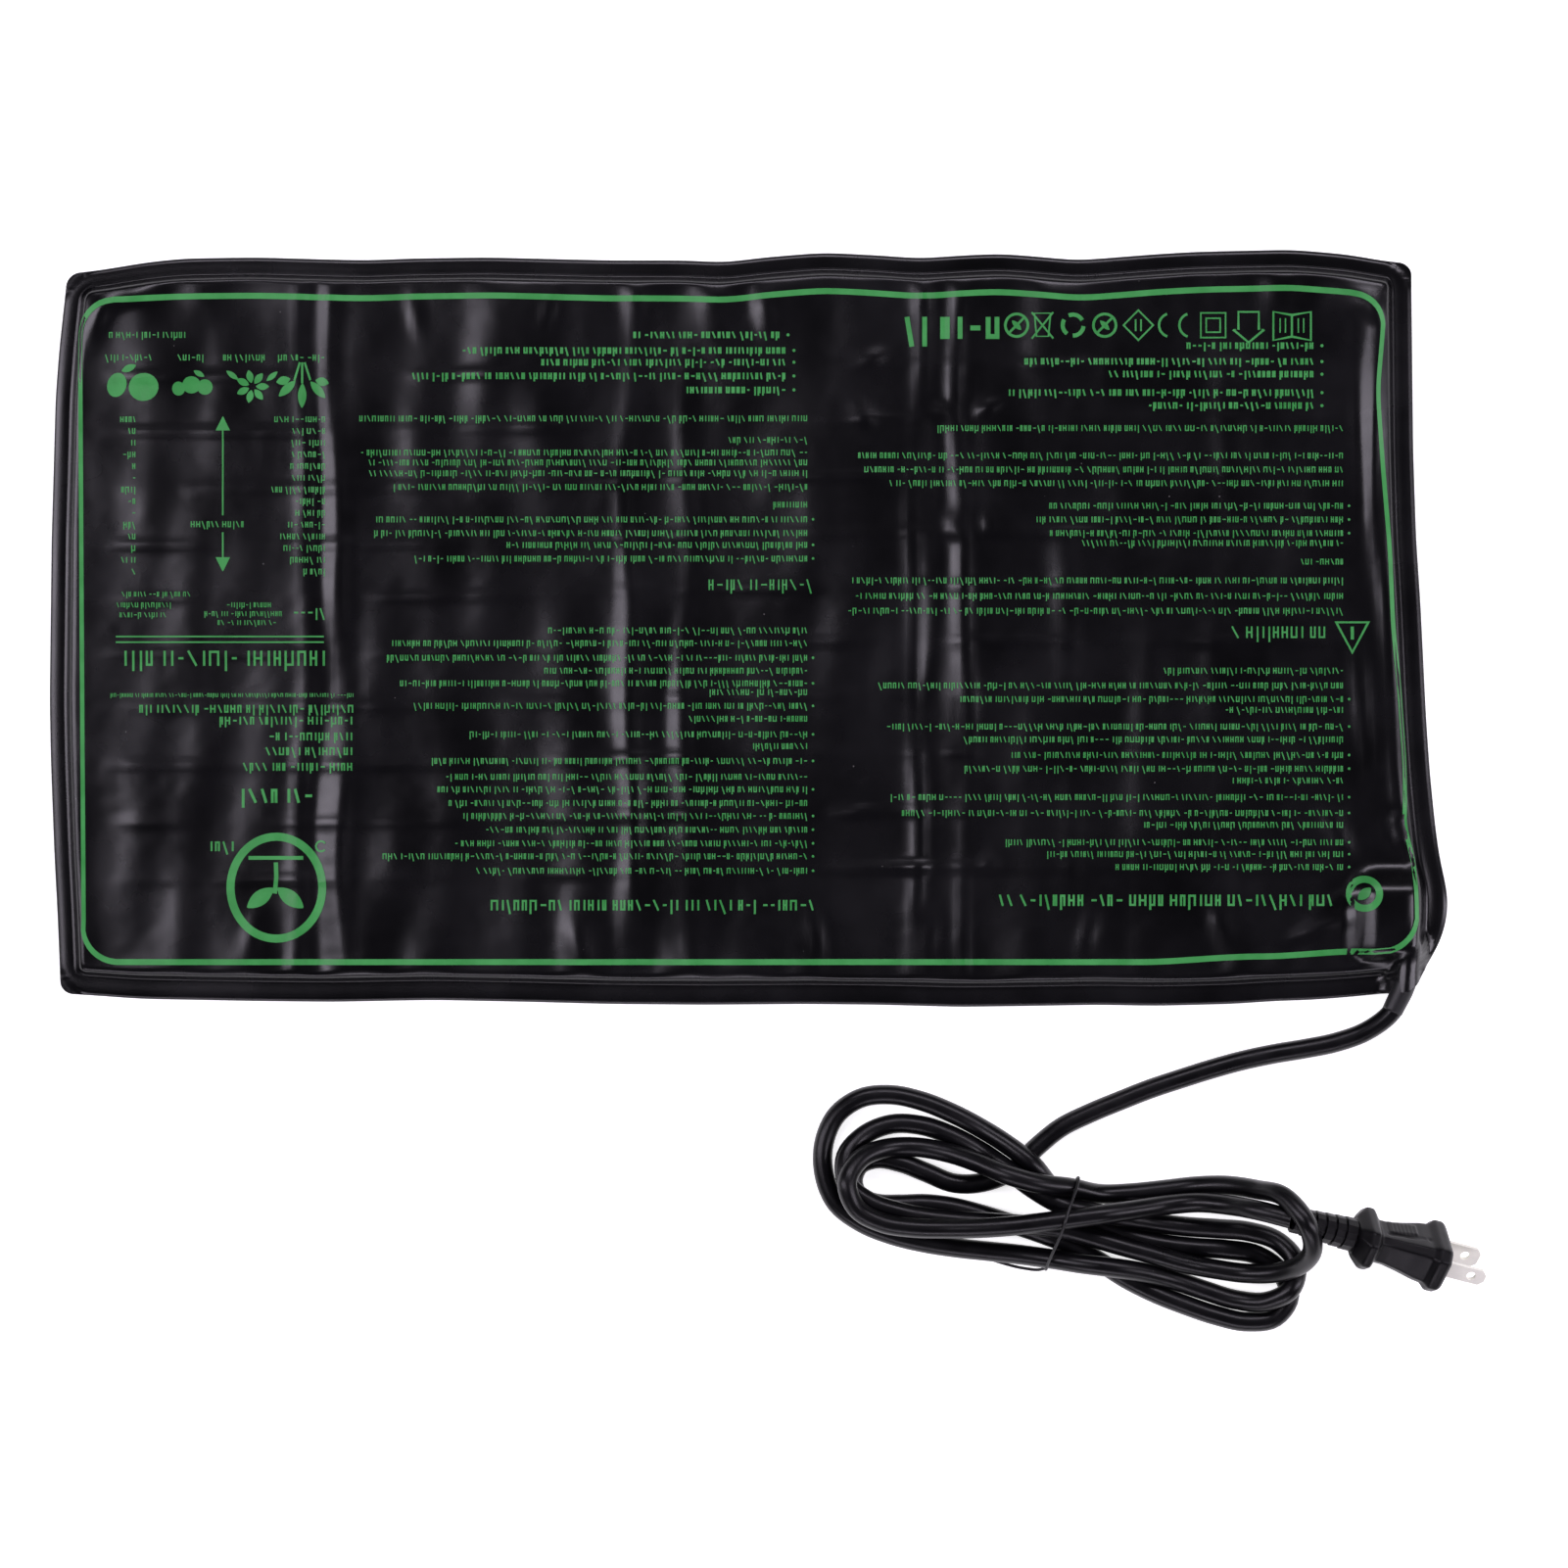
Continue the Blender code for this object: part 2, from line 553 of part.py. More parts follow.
def make_tie(parts):
    """The wire tie: a loose tail along the bench, then once round the hank."""
    finish = material("tie_wire", (0.02, 0.02, 0.022), 0.45)
    across = Vector((math.cos(TIE_ANGLE), math.sin(TIE_ANGLE), 0))
    along = Vector((-across.y, across.x, 0))
    middle = from_exit(TIE_MIDDLE)
    low = TIE_DIAMETER / 2 + GAP
    high = HANK_TOP + GAP + TIE_DIAMETER / 2
    inset = 1 - TIE_CORNER / TIE_HALF_SPAN
    loop = (
        (1, low, 0),
        (1, high - TIE_CORNER, 0.1),
        (inset, high, 0.2),
        (-inset, high, 0.4),
        (-1, high - TIE_CORNER, 0.5),
        (-1, low + TIE_CORNER, 0.6),
        (-inset, low, 0.7),
        (inset, low, 0.9),
    )
    side = middle + across * TIE_HALF_SPAN + Vector((0, 0, low))
    places = [side + across * TIE_TAIL_SWING - along * TIE_TAIL_LENGTH]
    places += [
        middle + across * TIE_HALF_SPAN * reach + along * TIE_STEP * share + Vector((0, 0, height))
        for reach, height, share in loop
    ]
    tube("cord_tie", places, TIE_DIAMETER, parts, finish, sides=2)


def octagon(half_y, half_z, chamfer):
    """The corners of a chamfered rectangle, going round."""
    y, z, c = half_y, half_z, chamfer
    corners = ((y, z - c), (y - c, z), (c - y, z), (-y, z - c), (-y, c - z), (c - y, -z), (y - c, -z), (y, c - z))
    return corners


def make_plug_body(parts, cutters, holder):
    """The moulded body, a loft through chamfered sections, with a pocket in its face for the bridge."""
    finish = material("plug_moulding", (0.02, 0.019, 0.023), 0.45)
    bm = bmesh.new()
    rings = []
    for along, half_y, half_z, chamfer in PLUG_SECTIONS:
        x = along * MM - PLUG_LENGTH
        corners = octagon(half_y * MM, half_z * MM, chamfer * MM)
        rings.append([bm.verts.new((x, y, z)) for y, z in corners])
    for first, second in zip(rings, rings[1:]):
        for i in range(8):
            bm.faces.new((first[i], first[i - 1], second[i - 1], second[i]))
    bm.faces.new(rings[0])
    bm.faces.new(reversed(rings[-1]))
    bmesh.ops.recalc_face_normals(bm, faces=bm.faces)
    body = add_mesh("plug_body", bm, parts, finish)
    depth, across, through = BRIDGE_SIZE
    low = (-depth - GAP, -across / 2 - GAP, -through / 2 - GAP)
    pocket = add_mesh("bridge_pocket", box_mesh(low, (MM, across / 2 + GAP, through / 2 + GAP)), cutters)
    pocket.parent = holder
    cut(body, pocket)
    body.parent = holder


def make_bridge(parts, cutters, holder):
    """The moulding that holds the blades, flush with the plug's face, with a slot for each blade."""
    finish = material("bridge_plastic", (0.025, 0.024, 0.027), 0.5)
    depth, across, through = BRIDGE_SIZE
    low, high = (-depth, -across / 2, -through / 2), (0, across / 2, through / 2)
    bridge = add_mesh("plug_bridge", box_mesh(low, high), parts, finish)
    bridge.parent = holder
    for name, width in BLADE_WIDTHS.items():
        y = blade_side(name) * BLADE_PITCH / 2
        half_y, half_z = BLADE_THICKNESS / 2 + GAP, width / 2 + GAP
        low = (-BLADE_ROOT - GAP, y - half_y, -half_z)
        slot = add_mesh(name + "_slot", box_mesh(low, (MM, y + half_y, half_z)), cutters)
        slot.parent = holder
        cut(bridge, slot)


def blade_side(name):
    return 1 if name == "blade_neutral" else -1


def make_blades(parts, holder):
    """Two flat blades with a hole near the tip. The neutral one is the wider."""
    finish = material("blade_nickel", (0.85, 0.8, 0.78), 0.25, 1)
    for name, width in BLADE_WIDTHS.items():
        half, tip, chamfer = width / 2, BLADE_REACH, BLADE_TIP_CHAMFER
        edge = [(-BLADE_ROOT, -half), (tip - chamfer, -half), (tip, -half + chamfer)]
        edge += [(x, -y) for x, y in reversed(edge)]
        hole = arc((tip - BLADE_HOLE_TO_TIP, 0), BLADE_HOLE_DIAMETER / 2, 0, 330, 11)
        blade = plate(name, [edge, hole], 0, BLADE_THICKNESS, parts, finish)
        blade.parent = holder
        blade.location = (0, blade_side(name) * BLADE_PITCH / 2, 0)
        blade.rotation_euler.x = math.pi / 2


def make_plug_relief(parts, holder):
    """The tapered sleeve behind the plug, with grooves between its rings."""
    finish = material("plug_relief_rubber", (0.02, 0.019, 0.023), 0.48)
    narrow, wide = PLUG_RELIEF_RADII
    pitch = PLUG_RELIEF_LENGTH / PLUG_RELIEF_RINGS
    profile = [(0, 0)]
    for i in range(PLUG_RELIEF_RINGS):
        start, end = i * pitch, (i + 1) * pitch
        radius = narrow + (wide - narrow) * (i + 0.5) / PLUG_RELIEF_RINGS
        groove = radius - RING_GROOVE_DEPTH
        profile += [(radius, start), (radius, end - RING_GROOVE_WIDTH)]
        if i < PLUG_RELIEF_RINGS - 1:
            profile += [(groove, end - RING_GROOVE_WIDTH), (groove, end)]
        else:
            profile.append((radius, end))
    profile.append((0, PLUG_RELIEF_LENGTH))
    profile.reverse()
    relief = turned("plug_strain_relief", profile, parts, finish)
    relief.parent = holder
    relief.location.x = -(PLUG_LENGTH + GAP + PLUG_RELIEF_LENGTH)
    relief.rotation_euler.y = math.pi / 2


def plug_matrix():
    heading = Matrix.Rotation(PLUG_HEADING, 4, "Z")
    dip = Matrix.Rotation(PLUG_DIP, 4, "Y")
    roll = Matrix.Rotation(PLUG_ROLL, 4, "X")
    return Matrix.Translation(from_exit(PLUG_FACE)) @ heading @ dip @ roll


def main():
    clear_scene()
    parts = new_collection("seedling_heat_mat")
    cutters = new_collection("cutters")
    make_covers(parts)
    make_layers(parts)
    make_heating_wire(parts)
    make_splice(parts, cutters)
    make_connections(parts)
    make_mat_relief(parts)
    plug_frame = plug_matrix()
    make_lead(parts, plug_frame)
    make_tie(parts)
    holder = bpy.data.objects.new("plug_frame", None)
    parts.objects.link(holder)
    holder.matrix_world = plug_frame
    make_plug_body(parts, cutters, holder)
    make_bridge(parts, cutters, holder)
    make_blades(parts, holder)
    make_plug_relief(parts, holder)


main()
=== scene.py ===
"""Seedling heat mat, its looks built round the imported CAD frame: a black PVC mat with a green print,
a hank of mains lead with its tie, and a two-blade plug. Metres, +Z up, the mat's middle at X = Y = 0.
"""

import math

import bmesh
import bpy
import numpy as np
from mathutils import Matrix, Vector


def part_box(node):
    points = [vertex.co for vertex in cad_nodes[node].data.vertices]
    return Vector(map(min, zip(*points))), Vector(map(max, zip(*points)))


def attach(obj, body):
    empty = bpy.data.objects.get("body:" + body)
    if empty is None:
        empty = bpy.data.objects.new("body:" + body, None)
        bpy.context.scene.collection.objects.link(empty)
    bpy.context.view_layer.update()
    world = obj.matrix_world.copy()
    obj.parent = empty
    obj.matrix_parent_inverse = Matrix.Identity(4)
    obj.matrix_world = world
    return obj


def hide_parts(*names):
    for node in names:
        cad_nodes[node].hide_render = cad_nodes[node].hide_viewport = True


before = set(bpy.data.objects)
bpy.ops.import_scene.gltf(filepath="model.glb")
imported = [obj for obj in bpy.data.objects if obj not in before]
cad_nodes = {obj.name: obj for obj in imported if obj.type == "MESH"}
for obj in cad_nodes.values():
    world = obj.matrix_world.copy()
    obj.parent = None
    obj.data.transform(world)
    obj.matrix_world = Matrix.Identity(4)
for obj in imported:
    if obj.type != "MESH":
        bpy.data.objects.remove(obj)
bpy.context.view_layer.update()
MM = 0.001


# The camera looks straight down through a long lens, at a frame a little wider than the mat.
CAMERA_HEIGHT = 2500 * MM
VIEW_WIDTH = 585.2 * MM
camera_data = bpy.data.cameras.new("camera")
camera_data.sensor_width = 36
camera_data.lens = camera_data.sensor_width * CAMERA_HEIGHT / VIEW_WIDTH
camera_data.clip_end = 20
camera = bpy.data.objects.new("camera", camera_data)
camera.location = (17.4 * MM, -57.2 * MM, CAMERA_HEIGHT)
bpy.context.collection.objects.link(camera)
bpy.context.scene.camera = camera


# Mains lead: two cores in one round black PVC jacket, extruded. It leaves through the corner of the
# mat, lies along the floor, then in four turns of a hank, each on the ones before, and ends in the
# plug's strain relief. Millimetres, from the mat to the plug.
LEAD_DIAMETER = 7.4 * MM
LEAD_STEP = 2.0 * MM
lead_points = (
    (248.6, -131, 6.3), (243.9, -141.8, 5.4), (234.5, -149.2, 4.3), (223.3, -153.4, 3.8),
    (211.6, -155.8, 3.8), (199.7, -157.8, 3.8), (188, -160.3, 3.8), (176.4, -163.5, 3.8),
    (165, -167.1, 3.8), (153.6, -170.9, 3.8), (142.4, -175.3, 3.8), (131.3, -179.9, 3.8),
    (120.6, -185.2, 3.8), (111.4, -192.6, 3.8), (102.8, -201, 3.8), (92.2, -205.5, 3.8),
    (80.5, -205.9, 3.8), (70.5, -202, 3.8), (60.8, -198.3, 3.8), (51.4, -196.9, 3.8),
    (45.5, -199.2, 3.8), (43.1, -205.1, 3.8), (45.5, -211, 3.8), (51.4, -213.4, 3.8), (60.5, -213.8, 3.8),
    (69.5, -213.6, 3.8), (78.9, -214.6, 3.8),
    (90.5, -217.4, 3.8), (102, -221, 3.8), (113.4, -224.8, 3.8), (124.5, -229.2, 3.8),
    (134.9, -235.1, 3.8), (145, -241.6, 3.8), (155.8, -247, 3.8), (167, -251.4, 3.8),
    (178.3, -255.2, 3.8), (189.8, -257.6, 3.8), (200.4, -256, 3.8), (205.7, -248.5, 3.8),
    (202.4, -239, 3.8), (193.6, -232.7, 3.8), (182.3, -230.7, 3.8), (170.4, -229.9, 3.8),
    (158.4, -228.5, 3.8), (146.5, -225.8, 3.8), (135.1, -221.5, 3.8), (125, -215.4, 3.8),
    (116.9, -207.5, 4.4), (109.9, -198.8, 9.7), (100.4, -191.3, 8.3), (90.3, -185.1, 4.9),
    (79.8, -179.7, 3.8), (68.9, -175.4, 3.8), (57.4, -173, 3.8), (46.1, -174.2, 3.8), (37, -180.5, 3.8),
    (32.4, -190.6, 3.8), (32.3, -202.3, 3.8), (36.7, -213.2, 3.8), (46, -220.5, 3.8),
    (57.1, -225.1, 3.8), (68.7, -228, 3.8), (80.5, -229.9, 3.8), (92.4, -231.2, 3.8),
    (104.4, -232.4, 4.1), (116.2, -233.9, 6.2), (127.8, -235.5, 10), (139.6, -236.9, 11.1),
    (151.4, -238.9, 8.7), (162.8, -242, 5.4), (174.2, -245.9, 3.9), (185.6, -249.3, 4.4),
    (196.8, -249.8, 7.4), (205.9, -244.7, 10.9), (208, -235.5, 7.6), (201.6, -227.7, 4.5),
    (190.8, -224, 3.8), (178.9, -222.9, 3.8), (167, -222.1, 3.9), (155.4, -220.6, 5.2),
    (143.9, -218.5, 7.9), (132.1, -216.4, 10.5), (120.3, -213.5, 11.1), (109.5, -207.4, 10.9),
    (99.8, -200, 10.2), (90.3, -193.7, 5.5), (80, -188.3, 3.9), (69, -184.5, 3.8), (57.6, -183.9, 3.8),
    (47.2, -188, 5), (40.3, -196, 8.4), (40.9, -205.4, 11.1), (49, -212.3, 11.3), (60, -216.1, 10.7),
    (71.7, -218.3, 9.8), (83.7, -219.5, 10.3), (95.7, -220.2, 11.2), (107.6, -221, 11.1),
    (119.5, -222.6, 10), (131, -225.5, 9.5), (142.4, -228.8, 10.2), (153.9, -231.9, 10.1),
    (165.4, -235.3, 8.4), (177.2, -237.7, 6.2), (188.9, -239.3, 6.8), (199.9, -238.8, 11.8),
    (208.6, -235.2, 20), (212.4, -228.5, 29.7), (209.7, -218.8, 35.4), (202.4, -209.8, 29.9),
    (192.3, -207.4, 18.1), (181.5, -206.4, 9.4), (170.3, -207, 4.9), (158.7, -208.4, 3.8),
    (146.9, -209.6, 3.9), (135.1, -209.8, 5.7), (124.2, -207.2, 11.6), (112.5, -205.4, 17.4),
    (100.4, -202.1, 18.2), (89.4, -197.8, 12.8), (78.4, -194.4, 8.1), (66.8, -192.4, 6.2),
    (55.2, -192.8, 8.2), (45.4, -196.6, 14), (40.7, -205, 18.6), (44.2, -214.4, 17.6),
    (53.7, -219.8, 16.6), (65.2, -221.7, 16.3), (77, -222, 16.8), (88.7, -221.8, 18.1),
    (100.6, -221, 18.8), (112.5, -219.7, 18.2), (124.4, -218.2, 18.2), (136.5, -216.6, 17.4),
    (148.2, -215.2, 13.6), (159.7, -213.7, 10.2), (171.1, -212.7, 11.2), (182.2, -213.3, 17),
    (193.5, -214.9, 26.4), (204.8, -217.7, 29.4),
)


def smooth_line(points, step):
    """Points `step` apart on a smooth line through the given ones: one cubic for each span, whose
    slope at a point is the mean of the chords on its two sides, each weighted by the other's length."""
    p = np.asarray(points, float)
    p = np.vstack([2 * p[0] - p[1], p, 2 * p[-1] - p[-2]])
    chord = np.diff(p, axis=0)
    size = np.linalg.norm(chord, axis=1)[:, None]
    unit = chord / size
    slope = (unit[:-1] * size[1:] + unit[1:] * size[:-1]) / (size[:-1] + size[1:])
    t = np.linspace(0, 1, 24, endpoint=False)[None, :, None]
    start, end, span = p[1:-2, None], p[2:-1, None], size[1:-1, None]
    line = (
        (2 * t**3 - 3 * t**2 + 1) * start
        + (t**3 - 2 * t**2 + t) * span * slope[:-1, None]
        + (3 * t**2 - 2 * t**3) * end
        + (t**3 - t**2) * span * slope[1:, None]
    )
    line = np.vstack([line.reshape(-1, 3), p[-2]])
    along = np.r_[0, np.cumsum(np.linalg.norm(np.diff(line, axis=0), axis=1))]
    places = np.linspace(0, along[-1], int(round(along[-1] / step)) + 1)
    return np.stack([np.interp(places, along, line[:, axis]) for axis in range(3)], 1)


def cord_curve(name, line, diameter, sides):
    """A curve object: one open poly spline along the line, with a round section and closed ends."""
    curve = bpy.data.curves.new(name, "CURVE")
    curve.dimensions = "3D"
    curve.bevel_depth = diameter / 2
    curve.bevel_resolution = sides // 2 - 2
    curve.use_fill_caps = True
    spline = curve.splines.new("POLY")
    spline.points.add(len(line) - 1)
    spline.points.foreach_set("co", np.c_[line, np.ones(len(line))].astype(np.float32).ravel())
    spline.use_smooth = True
    piece = bpy.data.objects.new(name, curve)
    bpy.context.collection.objects.link(piece)
    return piece


def new_group(name, inputs, outputs):
    """A shader node group with the given sockets, each (name, type, default), and its two end nodes."""
    group = bpy.data.node_groups.new(name, "ShaderNodeTree")
    for label, kind, value in inputs:
        socket = group.interface.new_socket(label, in_out="INPUT", socket_type=kind)
        if value is not None:
            socket.default_value = value
    for label, kind in outputs:
        group.interface.new_socket(label, in_out="OUTPUT", socket_type=kind)
    return group, group.nodes.new("NodeGroupInput"), group.nodes.new("NodeGroupOutput")


def add_node(tree, kind, links=None, **values):
    """A node of that kind: `values` set its properties, `links` its inputs, from a socket or a number."""
    node = tree.nodes.new(kind)
    for key, value in values.items():
        setattr(node, key, value)
    for key, source in (links or {}).items():
        socket = node.inputs[key]
        if isinstance(source, bpy.types.NodeSocket):
            tree.links.new(source, socket)
        else:
            socket.default_value = source
    return node


# The moulded and extruded surfaces share one effect: a fine grain, with broad soft patches where the
# surface has been rubbed, and a few specks of dust.
F, C, V = "NodeSocketFloat", "NodeSocketColor", "NodeSocketVector"
surface_group, g_in, g_out = new_group(
    "skin_grain",
    [("Place", V, None), ("Grain size", F, 1.0), ("Patch size", F, 1.0), ("Stretch", V, (1, 1, 1))],
    [("Grain", F), ("Patches", F), ("Specks", F)],
)
place = add_node(
    surface_group,
    "ShaderNodeVectorMath",
    {0: g_in.outputs["Place"], 1: g_in.outputs["Stretch"]},
    operation="MULTIPLY",
)
per_grain = add_node(
    surface_group, "ShaderNodeMath", {0: 1000.0, 1: g_in.outputs["Grain size"]}, operation="DIVIDE"
)
per_patch = add_node(
    surface_group, "ShaderNodeMath", {0: 1000.0, 1: g_in.outputs["Patch size"]}, operation="DIVIDE"
)
grain = add_node(
    surface_group,
    "ShaderNodeTexNoise",
    {"Vector": place.outputs[0], "Scale": per_grain.outputs[0], "Detail": 3.0, "Roughness": 0.6},
)
patches = add_node(
    surface_group,
    "ShaderNodeTexNoise",
    {"Vector": place.outputs[0], "Scale": per_patch.outputs[0], "Detail": 4.0, "Roughness": 0.55},
)
cells = add_node(
    surface_group,
    "ShaderNodeTexVoronoi",
    {"Vector": g_in.outputs["Place"], "Scale": 160.0, "Randomness": 1.0},
)
specks = add_node(
    surface_group,
    "ShaderNodeMapRange",
    {"Value": cells.outputs["Distance"], "From Min": 0.05, "From Max": 0.03, "To Min": 0.0, "To Max": 1.0},
)
few = add_node(
    surface_group,
    "ShaderNodeMath",
    {0: cells.outputs["Color"], 1: 0.82},
    operation="GREATER_THAN",
)
dust = add_node(
    surface_group, "ShaderNodeMath", {0: specks.outputs["Result"], 1: few.outputs[0]}, operation="MULTIPLY"
)
surface_group.links.new(grain.outputs["Fac"], g_out.inputs["Grain"])
surface_group.links.new(patches.outputs["Fac"], g_out.inputs["Patches"])
surface_group.links.new(dust.outputs[0], g_out.inputs["Specks"])


def skin_material(name, dark, light, rough, grain_size, bump, patch_size, dust_share=0.0, **fixed):
    """A moulded skin: colour from dark to light and roughness from rough[0] to rough[1] over the
    patches, a bump from the grain and pale dust specks. `fixed` sets plain sockets of the shader."""
    material = bpy.data.materials.new(name)
    material.use_nodes = True
    tree = material.node_tree
    shader = tree.nodes["Principled BSDF"]
    for key, value in fixed.items():
        shader.inputs[key.replace("_", " ")].default_value = value
    where = add_node(tree, "ShaderNodeTexCoord")
    skin = add_node(
        tree,
        "ShaderNodeGroup",
        node_tree=surface_group,
    )
    tree.links.new(where.outputs["Object"], skin.inputs["Place"])
    skin.inputs["Grain size"].default_value = grain_size
    skin.inputs["Patch size"].default_value = patch_size
    tint = add_node(
        tree,
        "ShaderNodeMapRange",
        {"Value": skin.outputs["Patches"], "From Min": 0.3, "From Max": 0.7},
    )
    colour = add_node(
        tree, "ShaderNodeMix", {"Factor": tint.outputs["Result"]}, data_type="RGBA"
    )
    colour.inputs[6].default_value = (*dark, 1)
    colour.inputs[7].default_value = (*light, 1)
    dusty = add_node(
        tree, "ShaderNodeMath", {0: skin.outputs["Specks"], 1: dust_share}, operation="MULTIPLY"
    )
    top = add_node(tree, "ShaderNodeMix", {"Factor": dusty.outputs[0]}, data_type="RGBA")
    tree.links.new(colour.outputs[2], top.inputs[6])
    top.inputs[7].default_value = (0.35, 0.34, 0.33, 1)
    tree.links.new(top.outputs[2], shader.inputs["Base Color"])
    roughness = add_node(
        tree,
        "ShaderNodeMapRange",
        {
            "Value": skin.outputs["Patches"],
            "From Min": 0.3,
            "From Max": 0.7,
            "To Min": rough[0],
            "To Max": rough[1],
        },
    )
    tree.links.new(roughness.outputs["Result"], shader.inputs["Roughness"])
    relief = add_node(
        tree,
        "ShaderNodeBump",
        {"Height": skin.outputs["Grain"], "Strength": 1.0, "Distance": bump * MM},
    )
    tree.links.new(relief.outputs["Normal"], shader.inputs["Normal"])
    return material


lead_skin = skin_material(
    "lead_jacket",
    dark=(0.0012, 0.0011, 0.0017),
    light=(0.0024, 0.0022, 0.0032),
    rough=(0.26, 0.38),
    grain_size=0.7,
    bump=0.02,
    patch_size=14,
    dust_share=0.5,
    Specular_IOR_Level=0.32,
)
lead_line = smooth_line(lead_points, LEAD_STEP / MM) * MM
mains_lead = cord_curve("mains_lead", lead_line, LEAD_DIAMETER, 20)
mains_lead.data.materials.append(lead_skin)
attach(mains_lead, "root")
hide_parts("lead_run", "lead_hank", "lead_tail")


# Tie: thin black plastic-coated wire, wound once tightly round the seven runs at the hank's waist and
# twisted below it, with one long end left lying on the floor.
TIE_DIAMETER = 1.15 * MM
TIE_MIDDLE = np.array([121.0, -220.0]) * MM
HANK_ALONG = np.array([0.9715, -0.2371])
HANK_ACROSS = np.array([0.2371, 0.9715])
beside = (lead_line[:, :2] - TIE_MIDDLE) @ HANK_ALONG
crossing = np.flatnonzero((beside[1:] * beside[:-1] <= 0) & (np.arange(len(beside) - 1) > 100))
runs = np.c_[(lead_line[crossing, :2] - TIE_MIDDLE) @ HANK_ACROSS, lead_line[crossing, 2]]
turn = np.linspace(0, 2 * math.pi, 73) - 0.6 * math.pi
outward = np.c_[np.cos(turn), np.sin(turn)]
nearest = runs[np.argmax(outward @ runs.T, axis=1)]
loop = nearest + outward * (LEAD_DIAMETER + TIE_DIAMETER) / 2
loop[:, 1] = np.maximum(loop[:, 1], TIE_DIAMETER / 2)
slant = np.linspace(-0.9, 0.9, len(loop)) * TIE_DIAMETER
loop_line = np.c_[
    TIE_MIDDLE + loop[:, :1] * HANK_ACROSS + (slant[:, None] + loop[:, :1] * 0.12) * HANK_ALONG,
    loop[:, 1],
]
tie_end = np.array(
    [(115.6, -237.4, 1.6), (112.6, -238.4, 0.7), (107.5, -238.0, 0.6), (99.0, -236.0, 0.6), (91.2, -233.4, 0.6)]
) * MM
tie_line = smooth_line(np.vstack([loop_line[::3], tie_end]), 0.5 * MM)
tie_wire = cord_curve("tie_wire", tie_line, TIE_DIAMETER, 10)
tie_skin = skin_material(
    "tie_wire",
    dark=(0.004, 0.004, 0.0045),
    light=(0.008, 0.008, 0.009),
    rough=(0.35, 0.5),
    grain_size=0.4,
    bump=0.01,
    patch_size=5,
)
tie_wire.data.materials.append(tie_skin)
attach(tie_wire, "root")
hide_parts("cord_tie")


# Top cover: a sheet of soft black PVC, 0.5 mm, welded to the one below round a flat rim, stretched over
# the foam, the foils and the ten runs of heating wire, and over the splice block and the lead's end
# near one corner. It was packed folded, so it keeps its fold lines. Millimetres in this section.
HALF_LENGTH, HALF_WIDTH = 254.0, 139.5
CORNER = 4.5
RIM_LEFT_TOP, RIM_RIGHT_BOTTOM = 6.3, 7.5
RIM_HEIGHT, FACE_HEIGHT, COVER = 1.1, 5.8, 0.45
left_bow = ((-139, 1.5), (-108, 0.3), (-86, -0.8), (-48, -2.2), (-26, -2.6), (34, -1.9), (61, -1.1),
            (89, -0.4), (111, 1.1), (122, 2.2), (139, 4.0))
right_bow = ((-139, -2.2), (-134, 0.0), (-128, 4.4), (-119, 8.8), (-110, 10.8), (-101, 11.0), (-92, 9.2),
             (-86, 8.0), (-75, 6.6), (-53, 4.4), (-31, 2.9), (-10, 1.9), (12, 0.8), (34, -0.7), (67, -1.8),
             (133, -2.5), (139, -2.5))
top_bow = ((-254, -6.5), (-239, -4.6), (-224, -2.1), (-209, -0.6), (-180, -0.2), (-151, -1.0), (-138, -1.3),
           (-122, -0.6), (-93, -0.2), (-48, -1.3), (-19, -1.3), (-5, -2.1), (10, -0.2), (32, 1.6), (54, 0.5),
           (68, -0.6), (83, 0.5), (98, 1.2), (112, 0.1), (127, -1.3), (141, -0.2), (156, 1.0), (171, 1.9),
           (207, 2.7), (229, 0.9), (244, -1.6), (254, -2.6))
bottom_bow = ((-254, 4.2), (-239, 3.2), (-224, 2.1), (-180, 1.3), (-151, 1.0), (-114, 1.7), (-78, 1.0),
              (-48, 0.2), (-12, -0.1), (25, 0.2), (54, -0.1), (83, -0.9), (112, -0.5), (134, -0.1),
              (156, -0.5), (185, 0.2), (200, 1.3), (214, 1.7), (229, 2.8), (245, 4.4), (254, 5.0))


def bow(table, at):
    """A bowed edge: straight pieces between the table's points, evened out over 7 mm."""
    where, value = np.array(table).T
    fine = np.arange(-300, 300, 0.5)
    line = np.interp(fine, where, value)
    weight = np.exp(-0.5 * (np.arange(-30, 31) / 9) ** 2)
    line = np.convolve(np.pad(line, 30, "edge"), weight / weight.sum(), "valid")
    return np.interp(at, fine, line)


def ease(value, start, end):
    """0 before start, 1 after end, and between them 3t^2 - 2t^3."""
    t = np.clip((value - start) / (end - start), 0, 1)
    return t * t * (3 - 2 * t)


def lay_out(x, y):
    """Where a point of the flat sheet lies in plan. The square's corners are drawn in to quarter rounds,
    then each edge's bow is added, fading towards the middle."""
    a = np.clip((np.abs(x) - HALF_LENGTH + CORNER) / CORNER, 0, 1)
    b = np.clip((np.abs(y) - HALF_WIDTH + CORNER) / CORNER, 0, 1)
    px = np.sign(x) * (np.abs(x) - CORNER * a * (1 - np.sqrt(1 - b * b / 2)))
    py = np.sign(y) * (np.abs(y) - CORNER * b * (1 - np.sqrt(1 - a * a / 2)))
    px = px + bow(left_bow, y) * (1 - ease(x, -254, -150)) + bow(right_bow, y) * ease(x, 203, 254)
    py = py + bow(top_bow, x) * ease(y, 60, 139) + bow(bottom_bow, x) * (1 - ease(y, -139, -60))
    return px, py


